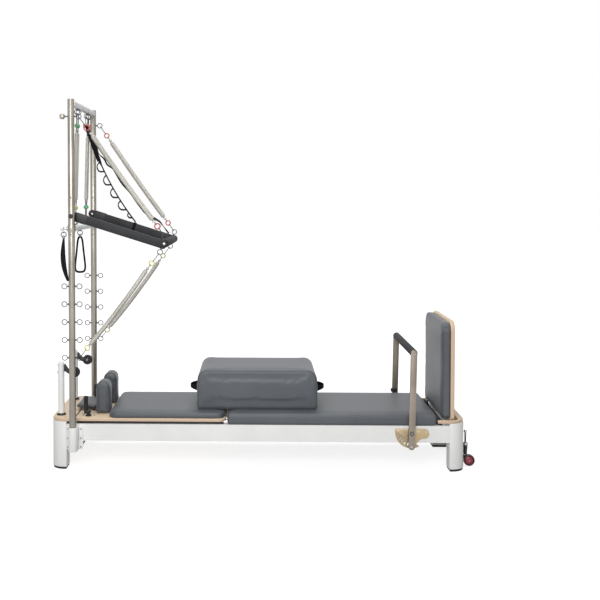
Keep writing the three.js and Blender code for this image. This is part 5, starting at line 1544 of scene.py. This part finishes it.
# %% Pulley risers and wheels
pulley_y = -215
pulley_at, riser_foot = (-1090, pulley_y, 556), (-1172, pulley_y, 300)
riser_profile = [(0, 2), (19, 2), (19, 303), (18.2, 310), (15, 317), (10, 322), (5, 323.8), (0, 324)]
riser = turned_part("pulley_post", riser_foot, riser_profile, (0, 0, 1), white_paint, 48)
both_sides(riser, "frame", "white_paint", "pulley_riser_{}")
flange_profile = [(0, 0), (28, 0), (28, 5), (26, 8), (21, 8), (20, 11), (19.2, 11), (19.2, 6), (0, 6)]
flange = turned_part("pulley_flange", riser_foot, flange_profile, (0, 0, 1), black_plastic, 48)
both_sides(flange, "frame", "black_plastic")
riser_bolts = [screw(f"riser_bolt_{level}", (-1190, pulley_y, level), (-1199, pulley_y, level),
                     6, bright_steel)
               for level in (600, 556)]
both_sides(together("riser_bolts", riser_bolts), "frame", "stainless")


def cut_sheet(name, outline_points, y, thickness, soft=1.0):
    """A flat part cut from sheet: its outline in X and Z in millimetres, standing at one Y."""
    clear()
    mesh = bpy.data.meshes.new(name)
    face = list(range(len(outline_points)))
    mesh.from_pydata([spot(px, y, pz) for px, pz in outline_points], [], [face])
    part = bpy.data.objects.new(name, mesh)
    bpy.context.scene.collection.objects.link(part)
    apply_last(part, "SOLIDIFY", thickness=thickness / 1000, offset=0)
    choose(part, "FACE", lambda face: True)
    bpy.ops.mesh.normals_make_consistent(inside=False)
    done(part)
    return soften(part, soft, 2, 50) if soft else part


def arc(cx, cz, radius, begin, end, steps=10):
    """Points of an arc in X and Z, its angles in degrees."""
    angles = [math.radians(begin + (end - begin) * i / steps) for i in range(steps + 1)]
    return [(cx + radius * math.cos(a), cz + radius * math.sin(a)) for a in angles]


upper_edge = curve_through([(-1153, 604, 0), (-1145, 597, 0), (-1128, 574, 0), (-1110, 567, 0)], 5)
lower_edge = curve_through([(-1110, 545, 0), (-1128, 549, 0), (-1143, 560, 0), (-1153, 563, 0)], 5)
cheek_outline = [(point.x, point.y) for point in upper_edge] + arc(-1090, 556, 13, 120, -120)
cheek_outline += [(point.x, point.y) for point in lower_edge]
cheeks = [cut_sheet(f"pulley_cheek_{n}", cheek_outline, pulley_y + way * 11.3, 4)
          for n, way in enumerate((-1, 1))]
seat_block = slab("pulley_seat", (-1153, -1146), (-228, -202), (563, 603), 1.5, 2)
arm_pieces = [paint(piece, black_paint) for piece in cheeks + [seat_block]]
both_sides(together("pulley_cheeks", arm_pieces), "frame", "bracket_steel", "pulley_arm_{}")
wheel_profile = [(5.3, -9), (30, -9), (31, -8), (31, -7), (25.5, -1), (25, 0), (25.5, 1), (31, 7),
                 (31, 8), (30, 9), (5.3, 9), (5.3, -9)]
wheel = turned_part("pulley_disc", pulley_at, wheel_profile, (0, 1, 0), black_plastic, 48)
both_sides(wheel, "pulley_{}", "black_plastic", "pulley_wheel_{}")
axle_bolts = [screw("pulley_bolt", (-1090, -227, 556), (-1090, -231.5, 556), 6.5, bright_steel),
              screw("pulley_nut", (-1090, -203, 556), (-1090, -198.5, 556), 6.5, bright_steel)]
both_sides(together("pulley_bolts", axle_bolts), "frame", "stainless")
print("two pulleys on their risers")

# %% [markdown]
# The carriage is a board of birch plywood on four wheels. Near its head end stand a tall black
# rubber peg and a small cleat on each side, between two steel pins. Black skirts, the wheels'
# hangers and the anchor of the springs are below it; the skirts are painted shade in the gap
# over the rails.

# %% Carriage board
board = slab("carriage_deck", (-1073, -185), (-310, 310), (283, 301), 0)
round_edges(board, edge_at(2, x=-185), 44, 10)
soften(board, 3, 3)
dress(paint(board, plywood_flat), "carriage", "plywood", "carriage_board")
peg_profile = [(0, 0), (15, 0), (15, 3), (13, 6), (13, 94), (13.6, 97), (13.6, 100), (12, 103), (0, 103)]
peg = turned_part("strap_peg", (-1031, -180, 301), peg_profile, (0, 0, 1), rubber)
both_sides(peg, "carriage", "black_plastic")
cleat_profile = [(0, 0), (18, 0), (18, 6), (11, 9), (10, 15), (12, 19), (17, 22), (17, 27),
                 (14, 30), (0, 30)]
cleat = turned_part("cord_cleat", (-1003, -250, 301), cleat_profile, (0, 0, 1), rubber)
both_sides(cleat, "carriage", "black_plastic")
pin_profile = [(0, 0), (6, 0), (6, 2), (3, 4), (3, 15), (5.5, 17), (5.5, 20), (4, 22), (0, 22)]
pins = [turned_part(f"cleat_pin_{x}", (x, -250, 301), pin_profile, (0, 0, 1), bright_steel, 20)
        for x in (-1033, -968)]
both_sides(together("cleat_pins", pins), "carriage", "stainless")
# Black skirts in the gap over the rails: painted shade for the dark space under the board.
board_gap_shade = slab("carriage_skirt", (-1062, -196), (-306, -300), (270.5, 283.4), 1.5, 2)
both_sides(paint(board_gap_shade, black_paint), "carriage", "bracket_steel")
rest_pegs = [paint(bar(f"rest_peg_{x}", (x, -140, 290), (x, -140, 303), 6, 20, 0), bright_steel)
             for x in (-943, -913)]
both_sides(together("rest_pegs", rest_pegs), "carriage", "stainless")
anchor = slab("spring_anchor", (-235, -215), (-215, 215), (227, 282.7), 2, 2)
dress(paint(anchor, black_paint), "carriage", "bracket_steel")
hangers = []
for x in (-991, -267):
    plate = slab(f"wheel_hanger_{x}", (x - 16, x + 16), (-251, -246), (226, 282.7), 2, 2)
    axle = bar(f"wheel_axle_{x}", (x, -274, 238.3), (x, -244, 238.3), 5, 20, 0.6)
    hangers += [paint(plate, black_paint), paint(axle, bright_steel)]
both_sides(together("wheel_hangers", hangers), "carriage", "bracket_steel")
print("carriage board with pegs, cleats and hangers")

# %% [markdown]
# Five springs lie under the carriage, hooked into the anchor below it and into the notched bar
# at the other end. They are seen only from low down, so their wire has fewer sides.

# %% Carriage springs
under_springs = []
for index in range(5):
    y = -180 + 90 * index
    under_springs.append(coil(f"under_coil_{index}", (-180, y, 245), (610, y, 245), 12, 1.9,
                              steps=10, wire_sides=5))
    under_springs.append(link(f"under_hook_{index}", (-214, y, 245), (-174, y, 245), 6.5, 2, (0, 1, 0)))
    under_springs.append(link(f"under_end_{index}", (645, y, 245), (604, y, 245), 6.5, 2, (0, 0, 1)))
for piece in under_springs:
    paint(piece, spring_steel)
dress(together("under_springs", under_springs), "carriage", "spring_steel", "carriage_spring_set")
print("five springs under the carriage")

# %% [markdown]
# The box carries a loop of webbing on each end, held by two screws. The loop stands off the box
# so that a hand fits behind it.

# %% Box handles
handle_z = 436.6
for label, face, way in (("head", -360, -1), ("foot", 359, 1)):
    shape = [(0.0, -1.0), (0.35, -0.96), (0.8, -0.72), (1.0, -0.3), (1.0, 0.3), (0.8, 0.72),
             (0.35, 0.96), (0.0, 1.0)]
    route = [(face + way * (1.5 + 47 * out), 70 * along, handle_z) for out, along in shape]
    handle = tape(f"box_handle_{label}", curve_through(route, 5), (0, 0, 1), 38, 4)
    level = handle_z / 1000
    for vertex in handle.data.vertices:
        out = min(1.0, abs(vertex.co.x - spot(face, 0, 0).x) / 0.048)
        vertex.co.z = level + (vertex.co.z - level) * (1 - 0.55 * out) + 0.004 * out
    dress(handle, "box", "webbing")
    ends = [screw(f"handle_screw_{label}_{y}", (face + way, y, handle_z), (face + way * 5, y, handle_z),
                  6, bright_steel) for y in (-62, 62)]
    dress(together(f"handle_screws_{label}", ends), "box", "stainless")
print("two handles on the box")

# %% [markdown]
# The back of the jump board is plywood with the same rounded outline as its pad. Two tongues
# below it go into pockets of the foot beam.

# %% Jump board panel
panel = slab("jump_panel", (1131, 1152), (-298, 298), (290, 876), 0)
round_level(panel, 0, 876, 60, 12)
round_level(panel, 0, 290, 30, 8)
soften(panel, 3, 3)
tongues = [slab(f"jump_tongue_{y}", (1131.2, 1151.8), (y - 30, y + 30), (196, 305), 3, 3)
           for y in (-150, 150)]
jump_wood = [paint(piece, plywood_upright) for piece in [panel] + tongues]
dress(together("jump_panel", jump_wood), "jump_board", "plywood", "jump_board_panel")
print("jump board panel with two tongues")

# %% [markdown]
# The footbar is a steel frame that swings in two slotted plates on the outside of the rails. Its
# arms are flat bars with round ends, drawn upright over the pivot and leaned to meet the tube.
# Its foam sleeve spans between the arms.

# %% Footbar
foot_pivot, foot_top = (897, 231), (906, 699)
foot_rise = (foot_top[0] - foot_pivot[0], foot_top[1] - foot_pivot[1])
reach = math.hypot(*foot_rise)
lean = math.degrees(math.atan2(*foot_rise))


def leaning(obj):
    """Leans a piece that was drawn upright over the footbar's pivot."""
    pin_point = spot(foot_pivot[0], 0, foot_pivot[1])
    turn = Matrix.Rotation(math.radians(lean), 4, "Y")
    obj.data.transform(Matrix.Translation(pin_point) @ turn @ Matrix.Translation(-pin_point))
    return obj


def on_foot_tube(y):
    """A place on the middle line of the footbar's tube."""
    return (foot_top[0], y, foot_top[1])


px, pz = foot_pivot
foot_arm = slab("foot_arm", (px - 19, px + 19), (-354, -346), (pz - 96, pz + reach + 19), 0)
round_edges(foot_arm, lambda edge: runs_along(edge, 1), 18.8, 12)
soften(foot_arm, 1.5, 3)
both_sides(paint(leaning(foot_arm), arm_steel), "footbar", "stainless")
foot_tube = bar("foot_tube", on_foot_tube(-347), on_foot_tube(347), 12, 36, 0)
dress(paint(foot_tube, arm_steel), "footbar", "stainless", "footbar_frame")
end_bolt = screw("foot_bolt", on_foot_tube(-353), on_foot_tube(-358), 9, bright_steel)
both_sides(end_bolt, "footbar", "stainless")
tail_pin = bar("foot_tail_pin", (px, -356, pz - 77), (px, -322, pz - 77), 6, 24, 0.8)
both_sides(paint(leaning(tail_pin), bright_steel), "footbar", "stainless")
foot_grip = bar("foot_grip", on_foot_tube(-345.6), on_foot_tube(345.6), 22, 48, 4)
dress(paint(foot_grip, foam), "footbar", "foam", "footbar_grip")
print("footbar of", round(reach), "mm with its grip")

# %% [markdown]
# The footbar's plates are cut from sheet: a sector about the pivot with four slots, into which
# the tail pins of the arms drop. The slots are cut with a stretched cylinder and a boolean.

# %% Footbar plates
stop = slab("foot_stop", (872, 914), (342, 358), (332, 354), 3, 3)
dress(paint(stop, black_plastic), "footbar", "black_plastic")
plate_outline = [(806, 252), (972, 252)] + arc(972, 224, 28, 84, -72, 8)
plate_outline += [(957, 196), (940, 184), (926, 164)]
plate_outline += arc(px, pz, 92, 300, 180, 14)
sector = cut_sheet("foot_plate", plate_outline, -324.3, 8, 0)
slot_reach = 71
for angle in (206, 222, 238, 254):
    clear()
    turn = math.radians(angle)
    place = spot(px + slot_reach * math.cos(turn), -324.3, pz + slot_reach * math.sin(turn))
    bpy.ops.mesh.primitive_cylinder_add(vertices=24, radius=0.0048, depth=0.03, location=place,
                                        rotation=(math.pi / 2, 0, 0))
    bpy.context.object.scale = (2.3, 1, 1)
    cutter = settled("slot_cutter")
    spin = Matrix.Translation(place) @ Matrix.Rotation(-turn, 4, "Y") @ Matrix.Translation(-place)
    cutter.data.transform(spin)
    apply_last(sector, "BOOLEAN", operation="DIFFERENCE", object=cutter, solver="EXACT")
    bpy.data.objects.remove(cutter)
soften(sector, 0.9, 2, 50)
both_sides(paint(sector, plate_metal), "frame", "plate_metal", "footbar_plate_{}")
for side, way in sides.items():
    hub = screw(f"foot_hub_{side}", (px, way * 354, pz), (px, way * 361, pz), 12, dark_steel)
    core = bar(f"foot_core_{side}", (px, way * 350, pz), (px, way * 360, pz), 4, 20, 0.6)
    paint(core, bright_steel)
    dress(together(f"foot_hub_{side}", [hub, core]), "frame", "stainless")
    bolts = [screw(f"plate_bolt_{side}_{x}", (px + x, way * 328, pz + 8), (px + x, way * 332, pz + 8),
                   5, bright_steel) for x in (40, 86)]
    dress(together(f"plate_bolts_{side}", bolts), "frame", "stainless")
print("slotted plates with their bolts")

# %% [markdown]
# At the foot end two small wheels let one person roll the unit away. Each has a crimson hub and
# a dark red tyre, and a black bracket with a spring damper and a steel pull knob.

# %% Transport wheels
damper_x, wheel_y = 1237.3, -200
wheel_at = (1259.3, wheel_y, 38)
tyre_profile = [(23, -9), (25, -14), (29, -17), (32, -15), (33, -11), (33, 11), (32, 15), (29, 17),
                (25, 14), (23, 9), (23, -9)]
tyre = turned_part("wheel_tyre", wheel_at, tyre_profile, (0, 1, 0), dark_red, 48)
hub_profile = [(5.3, -15.5), (9, -16.5), (16, -15.5), (22, -13), (25.5, -10), (25.5, 10), (22, 13),
               (16, 15.5), (9, 16.5), (5.3, 15.5), (5.3, -15.5)]
hub = turned_part("wheel_hub", wheel_at, hub_profile, (0, 1, 0), crimson, 40)
both_sides(tyre, "transport_wheel_{}", "tyre", "transport_wheel_{}")
both_sides(hub, "transport_wheel_{}", "tyre")
mount = slab("wheel_mount", (1211.5, 1216), (-222, -178), (62, 222), 1.5, 2)
damper_profile = [(0, 0), (9.5, 0), (10.5, 3), (13.5, 50), (13.5, 58), (0, 58)]
damper = turned_part("wheel_damper", (damper_x, wheel_y, 72), damper_profile, (0, 0, 1), black_plastic)
lug = slab("wheel_lug", (1215, 1238), (-206, -194), (84, 116), 2, 2)
fork_outline = [(1215, 66), (1232, 66)] + arc(1259.3, 38, 11, 60, -90, 8) + [(1240, 27), (1215, 46)]
fork = cut_sheet("wheel_fork", fork_outline, -179.5, 4)
black_bits = together("wheel_damper", [paint(piece, black_plastic) for piece in (damper, mount, lug, fork)])
both_sides(black_bits, "frame", "black_plastic", "transport_bracket_{}")
cap_profile = [(0, 0), (14, 0), (15.5, 2), (15.5, 10), (12, 14), (8, 15), (0, 15)]
cap = turned_part("wheel_cap", (damper_x, wheel_y, 129), cap_profile, (0, 0, 1), bright_steel)
rod = paint(bar("wheel_rod", (damper_x, wheel_y, 143), (damper_x, wheel_y, 203), 5.5, 24, 0.5), dark_steel)
pull_profile = [(0, 0), (6, 0), (9, 4), (9, 14), (7, 17), (0, 17)]
pull = turned_part("wheel_pull", (damper_x, wheel_y, 201), pull_profile, (0, 0, 1), bright_steel)
axle_profile = [(0, 0), (3.5, 0), (4.5, 1.5), (5, 3), (5, 41), (0, 41)]
axle = turned_part("wheel_axle", (1259.3, -218, 38), axle_profile, (0, 1, 0), bright_steel, 24)
both_sides(together("wheel_steel", [cap, rod, pull, axle]), "frame", "stainless")
print("two transport wheels")

# %% [markdown]
# Last, a short line says that the unit is dressed.

# %% The end
print("the unit is dressed")
